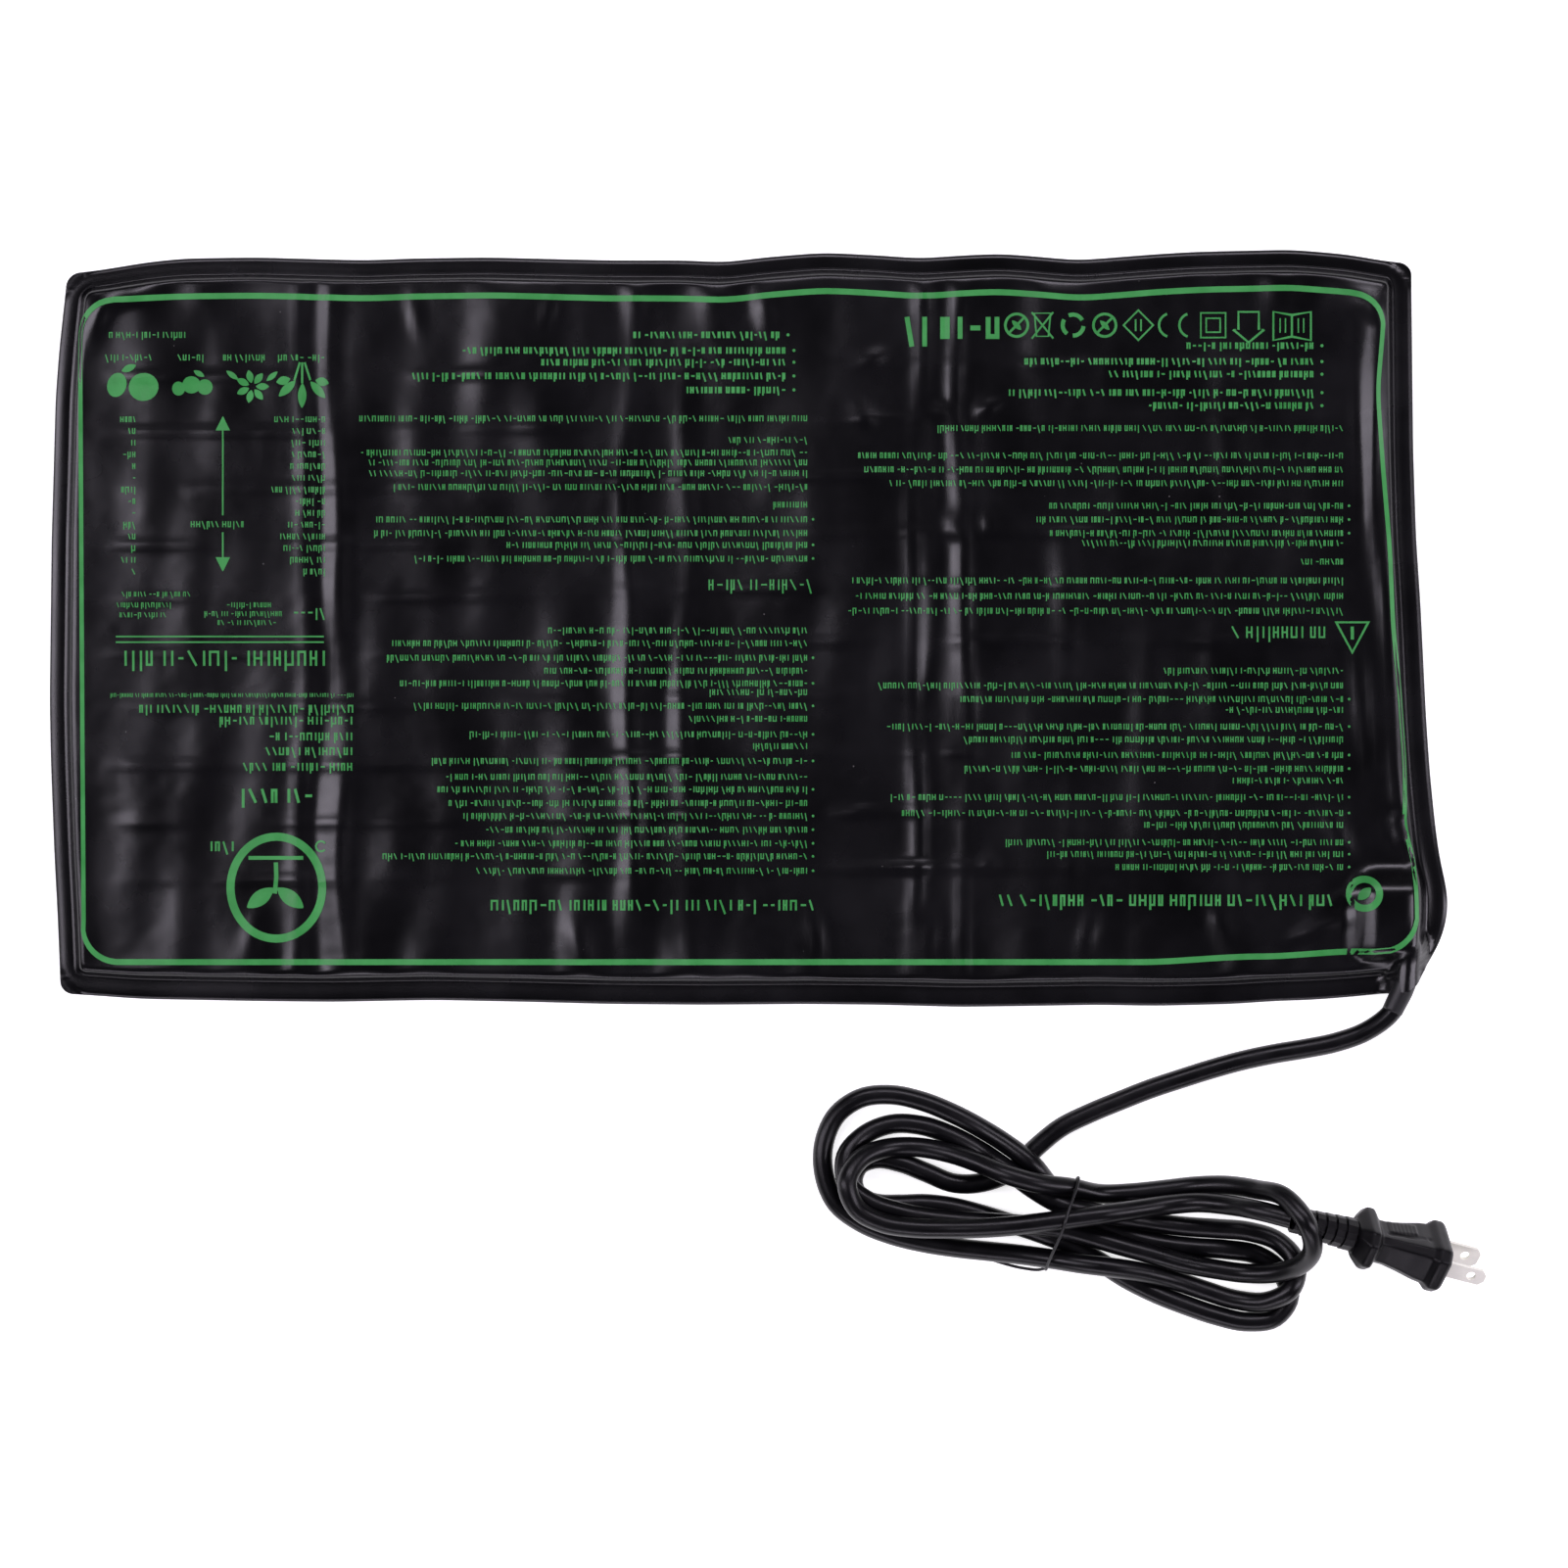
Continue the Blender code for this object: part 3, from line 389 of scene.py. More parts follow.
def waves(x, y, seed, count, shortest, longest, stretch=(1.0, 1.0)):
    """Smooth noise, about -1 to 1: a sum of `count` sine waves of random direction, length and phase."""
    random = np.random.default_rng(seed)
    angle = random.uniform(0, math.pi, count)
    length = np.exp(random.uniform(math.log(shortest), math.log(longest), count))
    phase = random.uniform(0, 2 * math.pi, count)
    total = np.zeros_like(x)
    for a, size, start in zip(angle, length, phase):
        reach = x * math.cos(a) / stretch[0] + y * math.sin(a) / stretch[1]
        total += np.sin(2 * math.pi * reach / size + start)
    return total / math.sqrt(count)


wire_runs = (95.9, 75.4, 54.5, 33.4, 13.4, -7.1, -27.0, -48.6, -70.2, -91.2)
# X at the middle, height, half width, which way it leans, and how much it wanders
pack_folds = (
    (-161.9, 0.75, 3.2, 0.010, 1.6), (-148.8, 0.95, 3.8, -0.015, 1.8), (-155.4, -0.55, 3.0, 0.0, 1.5),
    (-40.6, 0.80, 3.4, 0.012, 1.8), (-19.0, 0.70, 3.8, -0.020, 2.2), (-29.8, -0.65, 5.0, 0.0, 1.8),
    (66.5, 0.95, 3.4, 0.015, 1.8), (84.1, 0.90, 3.4, -0.010, 1.8), (75.3, -0.60, 4.0, 0.0, 1.8),
    (123.2, 0.55, 5.0, 0.020, 2.2), (181.7, 0.55, 6.0, -0.020, 2.5), (-205.0, 0.35, 7.0, 0.01, 2.0),
    (-95.0, 0.30, 7.5, -0.01, 2.5), (24.0, 0.35, 7.0, 0.015, 2.5), (152.0, 0.40, 6.0, 0.01, 2.0),
)
# X, Y, reach along X, reach along Y, turn, height
creases = (
    (50.8, 101.6, 5.0, 3.0, 0.3, 0.9), (47.1, 80.4, 4.0, 6.0, 0.2, 0.8), (75.7, 81.9, 4.0, 2.6, -0.4, 0.9),
    (93.2, 83.0, 5.0, 2.8, 0.5, 0.9), (79.3, 39.8, 3.5, 5.0, 0.1, 0.8), (93.9, 39.8, 3.2, 4.2, 0.2, 0.7),
    (93.9, -86.3, 5.0, 4.0, 0.4, 0.9), (58.3, -88.1, 17.0, 2.0, 0.03, 0.8), (45.5, -67.3, 8.0, 2.2, 0.1, 0.7),
    (-238.0, 118.0, 4.0, 12.0, -0.5, 1.3), (-226.0, 124.5, 14.0, 3.5, 0.25, 1.1),
    (236.0, 121.0, 10.0, 5.0, -0.6, 1.5), (243.5, 108.0, 2.6, 16.0, 0.05, 0.9),
    (237.8, 83.5, 3.2, 40.0, -0.04, 1.5), (231.5, 70.0, 2.6, 34.0, 0.03, -0.8), (242.0, 10.0, 3.0, 34.0, 0.08, 0.9),
    (233.0, -30.0, 3.4, 26.0, 0.10, 0.8), (247.0, -60.0, 3.0, 18.0, 0.10, 1.0),
        (226.0, -99.0, 7.5, 2.4, 0.5, 0.9), (214.0, -112.0, 12.0, 2.2, 0.35, 0.8), (224.0, -76.0, 3.0, 10.0, 0.5, 0.8),
    (-120.0, 118.0, 3.0, 9.0, 0.2, 0.7), (-70.0, 120.0, 3.0, 8.0, -0.2, 0.6), (10.0, 120.0, 3.5, 9.0, 0.15, 0.9),
    (-180.0, -113.0, 4.0, 10.0, -0.2, 0.7), (-60.0, -115.0, 4.0, 10.0, 0.2, 0.7), (130.0, -113.0, 4.0, 11.0, -0.25, 0.9),
    (30.0, -114.0, 3.5, 10.0, 0.2, 0.8), (72.0, -112.0, 4.0, 11.0, -0.15, 0.9), (180.0, -110.0, 4.0, 9.0, 0.3, 0.8),
)


# the curl beside the splice block: a thin raised fold in the shape of an S, X and Y along its top
curl = np.array([(245.2, -70.0), (246.0, -76.0), (248.6, -79.6), (251.6, -81.4), (254.6, -81.4), (256.4, -84.0),
                 (256.2, -87.0), (254.0, -88.6), (251.8, -88.2)])
curl = np.stack([np.interp(np.linspace(0, 8, 41), np.arange(9), curl[:, i]) for i in range(2)], 1)


def face_relief(x, y):
    """How far the raised face stands off its level: a low round ridge over each wire run, the packing
    folds, short creases, broad waves down the mat, folds that fan from the rim, and fine unevenness."""
    relief = 0.60 * waves(x, y, 3, 18, 60, 150, (1.0, 3.2)) + 0.30 * waves(x, y, 5, 34, 18, 55, (1.0, 1.8))
    lift = 4.6 * ease(x, -170, 60)
    patchy = 0.55 + 0.45 * np.clip(waves(x, y, 7, 14, 40, 110), -1, 1)
    inside = ease(x, -240, -225) * (1 - ease(x, 216, 232))
    for run in wire_runs:
        relief += 0.55 * patchy * inside * np.exp(-(((y - run - lift + 1.5) / 2.1) ** 2))
    for middle, height, width, lean, wander in pack_folds:
        line = middle + lean * y + wander * np.sin(y / 37 + middle) + 0.5 * wander * np.sin(y / 14 + 2 * middle)
        strength = 0.65 + 0.35 * np.sin(y / 23 + 3 * middle) * np.sin(y / 61 + middle)
        relief += 1.35 * height * strength * np.exp(-(((x - line) / width) ** 2))
    for cx, cy, rx, ry, angle, height in creases:
        along = (x - cx) * math.cos(angle) + (y - cy) * math.sin(angle)
        across = (y - cy) * math.cos(angle) - (x - cx) * math.sin(angle)
        relief += 1.3 * height * np.exp(-((along / rx) ** 2) - (across / ry) ** 2)
    near = np.full(x.shape, 9.0)
    close = (x > 236) & (x < 266) & (y > -98) & (y < -60)
    near[close] = np.min(np.hypot(x[close][:, None] - curl[:, 0], y[close][:, None] - curl[:, 1]), axis=1)
    relief += 1.7 * np.exp(-((near / 1.2) ** 2)) - 0.7 * np.exp(-(((near - 2.9) / 1.6) ** 2))
    near_rim = np.exp(-(HALF_WIDTH - 8 - np.abs(y)) / 20)
    relief += 0.80 * near_rim * waves(x, y, 11, 20, 16, 46, (1.0, 3.5))
    relief += 0.030 * waves(x, y, 13, 50, 5, 12)
    return relief


SPLICE = (236.7, 251.3, -118.6, -97.8)  # the block under the cover, X and Y
SPLICE_TOP = 12.2
LOWEST_FACE = 5.0  # clear of the upper foil
RISE_WIDTH = 2.8
TUNNEL_WIDTH = 4.9


def tunnel_middle(y):
    """X of the lead's axis where it runs in under the cover."""
    return 248.9 + 1.0 * ease(y, -136, -118)


def box_lift(x, y):
    """How far the cover is pushed up, 0 to 1, by the splice block: 1 over it, easing to 0 down each side."""
    left, right = SPLICE[0] - x, x - SPLICE[1]
    behind, before = y - SPLICE[3], SPLICE[2] - y
    side = np.maximum(left / 10.0, right / 6.0)
    end = np.maximum(behind / 12.0, before / 6.5)
    away = np.sqrt(np.clip(side, 0, None) ** 2 + np.clip(end, 0, None) ** 2)
    return 1 - ease(away, 0.0, 1.0)


def cover_height(x, y, from_edge, rim):
    """Height of the cover's outer face: the flat rim with its weld line, the rise, and the raised
    face with its relief; over that the splice block and the round tunnel for the lead, whichever is higher."""
    climb = np.clip((from_edge - rim) / RISE_WIDTH, 0, 1)
    rise = 1 - (1 - climb) ** 1.7
    flap = ease(x, 246, 262) * np.exp(-(((y + 100) / 17) ** 2))
    rim_line = RIM_HEIGHT + 1.6 * flap + 0.35 * np.sin(math.pi * np.clip(from_edge / rim, 0, 1))
    rim_line = rim_line + 0.30 * np.exp(-(((from_edge - rim + 0.25) / 0.30) ** 2))
    rim_line = rim_line - 0.5 * (1 - ease(from_edge, 0.0, 0.8))
    inner = ease(from_edge, rim, rim + 8)
    base = rim_line + (FACE_HEIGHT - RIM_HEIGHT) * rise + inner * face_relief(x, y)
    over = base - LOWEST_FACE
    base = np.where(from_edge > rim + RISE_WIDTH, LOWEST_FACE + (over + np.sqrt(over**2 + 0.3)) / 2, base)
    height = base + (SPLICE_TOP - base) * box_lift(x, y)
    across = np.abs(x - tunnel_middle(y)) / TUNNEL_WIDTH
    arch = 5.9 + TUNNEL_WIDTH * np.sqrt(np.clip(1 - across**2, 0, 1)) - 3.2 * np.clip(across - 1, 0, None) ** 0.8
    length = 1 - ease(y, -119, -112)
    arch = arch - 9 * np.clip(across - 1.35, 0, None) + (SPLICE_TOP - 11.2) * ease(y, -124, -118)
    return np.where(length > 0, np.maximum(height, arch * length + height * (1 - length)), height)


def rim_of(x, y):
    """The rim's width at a point: narrower along the left and top edges than along the other two."""
    to_left, to_right = x + HALF_LENGTH, HALF_LENGTH - x
    to_top, to_bottom = HALF_WIDTH - y, y + HALF_WIDTH
    near = np.minimum(to_left, to_top) - np.minimum(to_right, to_bottom)
    return RIM_RIGHT_BOTTOM + (RIM_LEFT_TOP - RIM_RIGHT_BOTTOM) * (1 - ease(near, -3, 3))


def edge_distance(x, y):
    """Distance from the flat sheet's edge, counted round the rounded corners."""
    dx, dy = HALF_LENGTH - np.abs(x), HALF_WIDTH - np.abs(y)
    inset = 11.0
    near = inset - np.hypot(np.clip(inset - dx, 0, None), np.clip(inset - dy, 0, None))
    return np.where((dx < inset) & (dy < inset), near, np.minimum(dx, dy))


def sheet_lines(half, fine, coarse):
    """Grid lines from edge to edge: close together over the rim, even between."""
    edge = np.array([0, 0.35, 0.8, 1.8, 3.2, 4.6, 5.3, 5.65, 6.0, 6.35, 6.7, 7.05, 7.4, 7.8, 8.2, 8.7, 9.4, 10.4])
    edge = edge[::fine]
    count = int(round(2 * (half - edge[-1]) / coarse))
    middle = np.linspace(edge[-1] - half, half - edge[-1], count + 1)
    return np.r_[edge[:-1] - half, middle, (half - edge[:-1])[::-1]]


def sheet_mesh(name, points, shape):
    """A mesh of a grid of points: one quad between each four, facing up where the grid runs +X then +Y."""
    rows, columns = shape
    corner = np.arange(rows * columns).reshape(rows, columns)
    quads = np.stack([corner[:-1, :-1], corner[1:, :-1], corner[1:, 1:], corner[:-1, 1:]], -1).reshape(-1, 4)
    mesh = bpy.data.meshes.new(name)
    mesh.from_pydata((points * MM).tolist(), [], quads.tolist())
    mesh.polygons.foreach_set("use_smooth", np.ones(len(quads), bool))
    piece = bpy.data.objects.new(name, mesh)
    bpy.context.collection.objects.link(piece)
    return piece


def thicken(piece, wall):
    """Gives a sheet its wall on the inner side, with closed edges, and applies it."""
    modifier = piece.modifiers.new("wall", "SOLIDIFY")
    modifier.thickness = wall * MM
    modifier.offset = -1
    modifier.use_even_offset = False
    graph = bpy.context.evaluated_depsgraph_get()
    mesh = bpy.data.meshes.new_from_object(piece.evaluated_get(graph))
    piece.modifiers.clear()
    piece.data = mesh


cover_skin = skin_material(
    "cover_pvc",
    dark=(0.0010, 0.0009, 0.0014),
    light=(0.0026, 0.0023, 0.0036),
    rough=(0.215, 0.31),
    grain_size=0.55,
    bump=0.012,
    patch_size=38,
    dust_share=0.35,
    Specular_IOR_Level=0.45,
)
flat_x, flat_y = np.meshgrid(sheet_lines(HALF_LENGTH, 1, 2.2), sheet_lines(HALF_WIDTH, 1, 1.75), indexing="ij")
sheet_x, sheet_y = lay_out(flat_x, flat_y)
sheet_z = cover_height(sheet_x, sheet_y, edge_distance(flat_x, flat_y), rim_of(flat_x, flat_y))
top_cover = sheet_mesh("top_cover_sheet", np.stack([sheet_x, sheet_y, sheet_z], -1).reshape(-1, 3), sheet_x.shape)
thicken(top_cover, COVER)
top_cover.data.materials.append(cover_skin)
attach(top_cover, "root")
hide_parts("top_cover")


# Bottom cover: the same sheet lying flat on the floor, welded to the top one round the rim. It follows
# the top cover's outline and the lifted flap beside the splice block.
flat_x, flat_y = np.meshgrid(sheet_lines(HALF_LENGTH, 3, 9.0), sheet_lines(HALF_WIDTH, 3, 9.0), indexing="ij")
base_x, base_y = lay_out(flat_x * 0.9992, flat_y * 0.9986)
base_z = 0.5 + 1.2 * ease(base_x, 254, 263) * np.exp(-(((base_y + 100) / 17) ** 2))
bottom_cover = sheet_mesh(
    "bottom_cover_sheet", np.stack([base_x, base_y, base_z], -1).reshape(-1, 3), base_x.shape
)
thicken(bottom_cover, COVER)
bottom_cover.data.materials.append(cover_skin)
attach(bottom_cover, "root")
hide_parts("bottom_cover")


# Print: one layer of green screen ink on the top cover, lying over its ridges: a border line, blocks of
# greeked lines whose marks are only short bars, and plain pictures. All of it is a thin skin of ink
# carried on the cover's surface. X and Y in millimetres, read from the side away from the lead.
INK = 0.06
INK_LIFT = 0.10
ink_quads = []  # four corners of each patch of ink


def on_cover(x, y):
    """Height of the cover's outer face at a place in plan. The flat sheet's own place is found first, by
    taking off three times over what lay_out adds."""
    flat_x, flat_y = x.copy(), y.copy()
    for _ in range(3):
        laid_x, laid_y = lay_out(flat_x, flat_y)
        flat_x, flat_y = flat_x + x - laid_x, flat_y + y - laid_y
    return cover_height(x, y, edge_distance(flat_x, flat_y), rim_of(flat_x, flat_y))


def bar(x0, y0, x1, y1):
    """A straight-sided mark between two corners."""
    ink_quads.append(((x0, y0), (x1, y0), (x1, y1), (x0, y1)))


def stroke(points, width, closed=False):
    """A line through the points, of one width or a width at each: a quad between each two, whose ends lie
    square to the line's mean direction."""
    p = np.asarray(points, float)
    if closed:
        ahead, behind = np.roll(p, -1, 0), np.roll(p, 1, 0)
    else:
        ahead, behind = np.vstack([p[1:], p[-1]]), np.vstack([p[0], p[:-1]])
    unit = ahead - behind
    unit /= np.linalg.norm(unit, axis=1)[:, None]
    off = np.c_[-unit[:, 1], unit[:, 0]] * np.broadcast_to(width, len(p))[:, None] / 2
    a, b = p + off, p - off
    count = len(p) if closed else len(p) - 1
    for i in range(count):
        j = (i + 1) % len(p)
        ink_quads.append((tuple(b[i]), tuple(b[j]), tuple(a[j]), tuple(a[i])))


def blob(cx, cy, rx, ry, angle=0.0, sides=20):
    """A filled ellipse, as a strip of quads across its width."""
    t = np.linspace(0, math.pi, sides // 2 + 1)
    x, y = np.cos(t) * rx, np.sin(t) * ry
    c, s = math.cos(angle), math.sin(angle)
    top = np.c_[cx + x * c - y * s, cy + x * s + y * c]
    low = np.c_[cx + x * c + y * s, cy + x * s - y * c]
    for i in range(len(t) - 1):
        ink_quads.append((tuple(top[i]), tuple(top[i + 1]), tuple(low[i + 1]), tuple(low[i])))


def ring(cx, cy, radius, width, sides=40, start=0.0, sweep=2 * math.pi, squash=1.0):
    """A circle, or a part of one, drawn as a stroke."""
    t = start + np.linspace(0, sweep, sides + 1)
    closed = sweep > 6.28
    t = t[:-1] if closed else t
    stroke(np.c_[cx + radius * np.cos(t), cy + radius * squash * np.sin(t)], width, closed)


def leaf(cx, cy, length, width, angle):
    """A pointed leaf: its half width follows a sine along its length."""
    t = np.linspace(0.02, 0.98, 9)
    c, s = math.cos(angle), math.sin(angle)
    half = width / 2 * np.sin(math.pi * t) ** 0.8
    x = (t - 0.5) * length
    top = np.c_[cx + x * c - half * s, cy + x * s + half * c]
    low = np.c_[cx + x * c + half * s, cy + x * s - half * c]
    for i in range(8):
        ink_quads.append((tuple(low[i]), tuple(low[i + 1]), tuple(top[i + 1]), tuple(top[i])))


def wedge(tip, base, half):
    """A filled arrow head from its tip to the middle of its base, upright in the picture."""
    x, low, high = tip[0], tip[1], base[1]
    ink_quads.append(((x - 0.12, low), (x + 0.12, low), (x + half, high), (x - half, high)))


def greeked(right, left, y, height, seed, weight=0.19):
    """A greeked line, from its right-hand start to its left end: words of 2 to 9 marks, each an upright
    bar, a leaning bar, a short level dash, or two bars joined by one. `weight` is a bar's width for
    its height."""
    random = np.random.default_rng(seed)
    pen, thick = right, height * weight
    low, high = y - height / 2, y + height / 2
    while pen > left + height * 0.5:
        for _ in range(int(random.integers(2, 10))):
            wide = height * random.uniform(0.40, 0.72)
            if pen - wide < left - height * 0.3:
                break
            form, tall = int(random.integers(0, 8)), height * 0.35 * (random.random() < 0.25)
            if form in (0, 1):
                bar(pen - thick, low - tall, pen, high)
                wide = thick + height * 0.12
            elif form in (2, 3):
                stroke(((pen - thick / 2, low - tall), (pen - wide + thick / 2, high)), thick)
            elif form == 4:
                bar(pen - wide * 0.8, y - thick / 2, pen, y + thick / 2)
            else:
                level = (low, high - thick, y - thick / 2)[form - 5]
                bar(pen - thick, low, pen, high)
                bar(pen - wide, low - tall, pen - wide + thick, high)
                bar(pen - wide + thick, level, pen - thick, level + thick)
            pen -= wide + height * 0.24
        pen -= height * 0.36


# the border line: a rounded rectangle whose right-hand side follows the cover's folds
border_right = ((128, 240.5), (118, 240.9), (89, 238.3), (60, 240.5), (30, 243.0), (1, 244.2), (-20, 246.4),
                (-50, 248.6), (-68, 248.6), (-76, 248.2), (-82, 251.6), (-104, 252.6))
side_y, side_x = np.array(border_right, float).T
fine_y = np.linspace(114.0, -108.0, 112)
fine_x = np.interp(-fine_y, -side_y, side_x)
fine_x = np.convolve(np.pad(fine_x, 3, "edge"), np.ones(7) / 7, "valid")


def corner_arc(cx, cy, radius, start, end, count=9):
    t = np.radians(np.linspace(start, end, count))
    return np.c_[cx + radius * np.cos(t), cy + radius * np.sin(t)]


top_x = np.linspace(228, -232, 150)
low_x = np.linspace(-231, 237, 150)
border = np.vstack(
    [
        corner_arc(fine_x[0] - 12, 113.5, 12, 8, 82),
        np.c_[top_x, 124.9 + bow(top_bow, np.maximum(top_x, -205)) - 1.2 * ease(-top_x, 205, 233)],
        corner_arc(-231.6, 110.0, 13.0, 96, 176),
        np.c_[np.linspace(-244.7, -243.4, 80), np.linspace(107, -108, 80)],
        corner_arc(-230.6, -110.5, 13, 186, 264),
        np.c_[low_x, -123.5 + 2.1 * ease(low_x, 150, 195) + 1.9 * ease(low_x, 195, 232)],
        corner_arc(fine_x[-1] - 13.5, -106.0, 13.5, -75, -8),
        np.c_[fine_x, fine_y][::-1],
    ]
)
level = np.abs(np.gradient(border[:, 0])) / np.linalg.norm(np.gradient(border, axis=0), axis=1)
stroke(border, 1.6 + 0.6 * level, closed=True)

# left-hand block: a table of crops with its heading, four pictures, and the ratings
crop_rows = zip(
    np.linspace(78.6, 21.9, 14),
    (19.0, 12.8, 12.8, 13.5, 13.5, 12.8, 19.4, 12.1, 11.3, 14.6, 18.7, 15.0, 13.2, 8.1),
)
for i, (y, wide) in enumerate(crop_rows):
    greeked(-153.5, -153.5 - wide, y, 2.1, 100 + i)
    greeked(-224.1, -224.1 - (2.2 if i % 3 else 5.6), y, 2.1, 130 + i)
small_lines = (
    (-205.5, -234.0, 110.0, 2.2), (-218.0, -235.5, 101.6, 2.2), (-198.8, -209.0, 101.6, 2.2),
    (-176.0, -191.0, 101.6, 2.2), (-153.8, -172.0, 101.6, 2.2), (-203.6, -231.0, 13.5, 1.8),
    (-210.9, -231.0, 9.5, 1.8), (-212.7, -231.0, 5.8, 1.8), (-173.6, -190.8, 9.5, 1.8),
    (-169.6, -199.2, 6.2, 1.8), (-171.8, -194.1, 2.9, 1.8), (-153.5, -165.9, 6.6, 3.2),
    (-142.9, -233.2, -24.1, 1.4), (-183.8, -204.7, 39.5, 2.2),
)
for i, (right, left, y, height) in enumerate(small_lines):
    greeked(right, left, y, height, 150 + i)
bold_lines = (
    (-142.9, -221.9, -29.2), (-143.3, -193.3, -33.6), (-143.3, -174.3, -39.5), (-143.3, -177.3, -45.0),
    (-143.3, -184.6, -50.8),
)
for i, (right, left, y) in enumerate(bold_lines):
    greeked(right, left, y, 2.9, 170 + i, weight=0.2)
greeked(-158.3, -189.0, -61.6, 5.2, 180, weight=0.2)
greeked(-153.5, -231.4, -10.4, 5.6, 182, weight=0.15)
bar(-231.4, -2.6, -153.9, -2.0)
bar(-231.4, -4.7, -153.9, -4.1)
for low, high in ((42.8, 76.0), (25.4, 36.5)):
    bar(-191.8, low, -191.2, high)
for tip, foot in ((79.6, 74.4), (22.0, 27.2)):
    wedge((-191.5, tip), (-191.5, foot), 2.7)

# the four pictures over the table: a squash, a fruit, a flower and a sprout
blob(-221.0, 90.6, 5.6, 5.2, 0.2)
blob(-231.0, 91.4, 3.6, 4.6, -0.3)
leaf(-226.5, 97.6, 6.0, 2.6, 0.4)
blob(-203.2, 91.4, 3.4, 3.2)
blob(-198.2, 90.6, 2.9, 2.9)
blob(-208.0, 90.0, 2.4, 2.6)
leaf(-200.4, 95.6, 4.6, 2.0, -0.5)
for k in range(7):
    turn_at = 2 * math.pi * k / 7
    leaf(-180.6 + 3.8 * math.cos(turn_at), 90.8 + 3.8 * math.sin(turn_at), 5.0, 2.6, turn_at)
leaf(-188.0, 95.0, 5.6, 2.0, 2.5)
leaf(-173.2, 94.6, 5.4, 2.0, 0.7)
for cx, cy, size, angle in ((-167.6, 90.0, 8.6, 0.75), (-162.0, 87.4, 9.4, 1.55), (-156.2, 89.6, 8.4, 2.3),
                            (-169.0, 93.0, 5.4, 0.25), (-154.6, 92.6, 5.2, 2.9)):
    leaf(cx, cy, size, 3.2, angle)
for foot in ((-164.9, 93.0), (-162.0, 92.0), (-159.0, 93.2)):
    stroke(((-162.0 + (foot[0] + 162.0) * 0.3, 99.8), foot), 0.8)

# the round mark under the table: a ring with a sprout in it
ring(-171.6, -95.8, 17.1, 3.0, 56, squash=1.11)
stroke(((-171.8, -86.4), (-171.6, -92.0), (-172.2, -98.0)), 1.6)
leaf(-166.4, -99.6, 12.5, 5.6, -0.65)
leaf(-177.6, -99.6, 12.5, 5.6, -2.5)
bar(-182.0, -85.4, -161.6, -84.0)
ring(-155.0, -80.4, 1.9, 0.7, 14, 0.6, 5.0)
greeked(-187.5, -198.1, -80.4, 3.6, 184, weight=0.2)

# middle block: bold lines with bullets, then three lists; the first number is the right-hand start
middle_bold = ((15.7, -39.8, 110.0), (17.9, -102.3, 104.2), (17.9, -73.1, 99.8), (17.9, -121.7, 94.7),
               (17.9, -20.1, 89.5))
middle_lines = (
    (-141.1, 78.9), (-3.7, 70.9), (-141.1, 66.2), (-137.8, 62.5), (-137.1, 58.5), (-129.0, 53.4), (12.8, 46.8),
    (-134.9, 41.3), (-135.6, 36.2), (-86.3, 31.8), (-121.0, 26.7), (-72.0, 0.0), (-129.0, -4.8),
    (-131.9, -10.2), (-72.0, -15.0), (-126.5, -19.7), (-10.2, -23.0), (-119.9, -28.1), (-17.5, -32.9),
    (-99.4, -38.7), (4.4, -43.1), (-115.1, -48.6), (-108.2, -54.5), (-111.5, -59.2), (-107.8, -64.3),
    (-103.1, -69.1), (-94.3, -74.2), (-106.0, -79.3), (-133.0, -84.1), (-97.6, -89.5),
)
for i, (right, left, y) in enumerate(middle_bold):
    greeked(right, left, y, 2.4, 200 + i, weight=0.27)
    blob(right + 3.2, y, 0.6, 0.6, sides=8)
for i, (left, y) in enumerate(middle_lines):
    greeked(26.0, left, y, 2.15, 210 + i)
    if i in (7, 9, 10, 13, 15, 17, 19, 21, 23, 25, 26, 27, 28, 29):
        blob(28.2, y, 0.5, 0.5, sides=8)
greeked(27.8, -9.9, 17.0, 3.9, 245, weight=0.15)
greeked(28.5, -96.1, -102.3, 3.9, 246)

# right-hand block: a row of plain signs, bold lines, three lists and two headings
right_bold = ((214.5, 166.3, 106.0), (214.5, 107.5, 100.1), (214.5, 137.8, 95.4), (214.5, 100.9, 88.5),
              (214.5, 150.6, 83.7))
right_lines = (
    (74.2, 75.3), (44.2, 65.1), (45.7, 59.9), (56.3, 54.8), (115.9, 46.4), (110.7, 41.3), (115.9, 36.2),
    (127.2, 32.5), (210.2, 25.6), (42.0, 18.6), (43.1, 12.8), (41.3, 7.3), (157.9, -15.0), (52.6, -20.5),
    (83.0, -25.6), (181.7, -29.6), (55.2, -35.8), (84.1, -40.6), (101.6, -46.4), (84.8, -51.5),
    (183.5, -55.9), (57.0, -62.1), (61.4, -68.0), (149.1, -72.4), (98.7, -78.9), (114.0, -83.3),
    (140.7, -88.1),
)
for i, (right, left, y) in enumerate(right_bold):
    greeked(right, left, y, 2.4, 260 + i, weight=0.27)
    blob(right + 3.2, y, 0.6, 0.6, sides=8)
for i, (left, y) in enumerate(right_lines):
    greeked(225.5, left, y, 2.15, 270 + i)
    if i in (4, 5, 6, 14, 16, 18, 19, 21, 22, 24, 25, 26):
        blob(227.8, y, 0.5, 0.5, sides=8)
greeked(218.9, 184.2, -0.7, 4.3, 300, weight=0.15)
greeked(221.5, 97.2, -100.5, 4.2, 301)
stroke(((229.0, -8.2), (235.0, 3.0), (223.0, 3.0)), 1.5, closed=True)
bar(228.4, -3.4, 229.6, 1.4)
ring(233.2, -98.0, 5.4, 2.6, 30)
leaf(233.2, -98.0, 6.4, 3.6, 0.8)

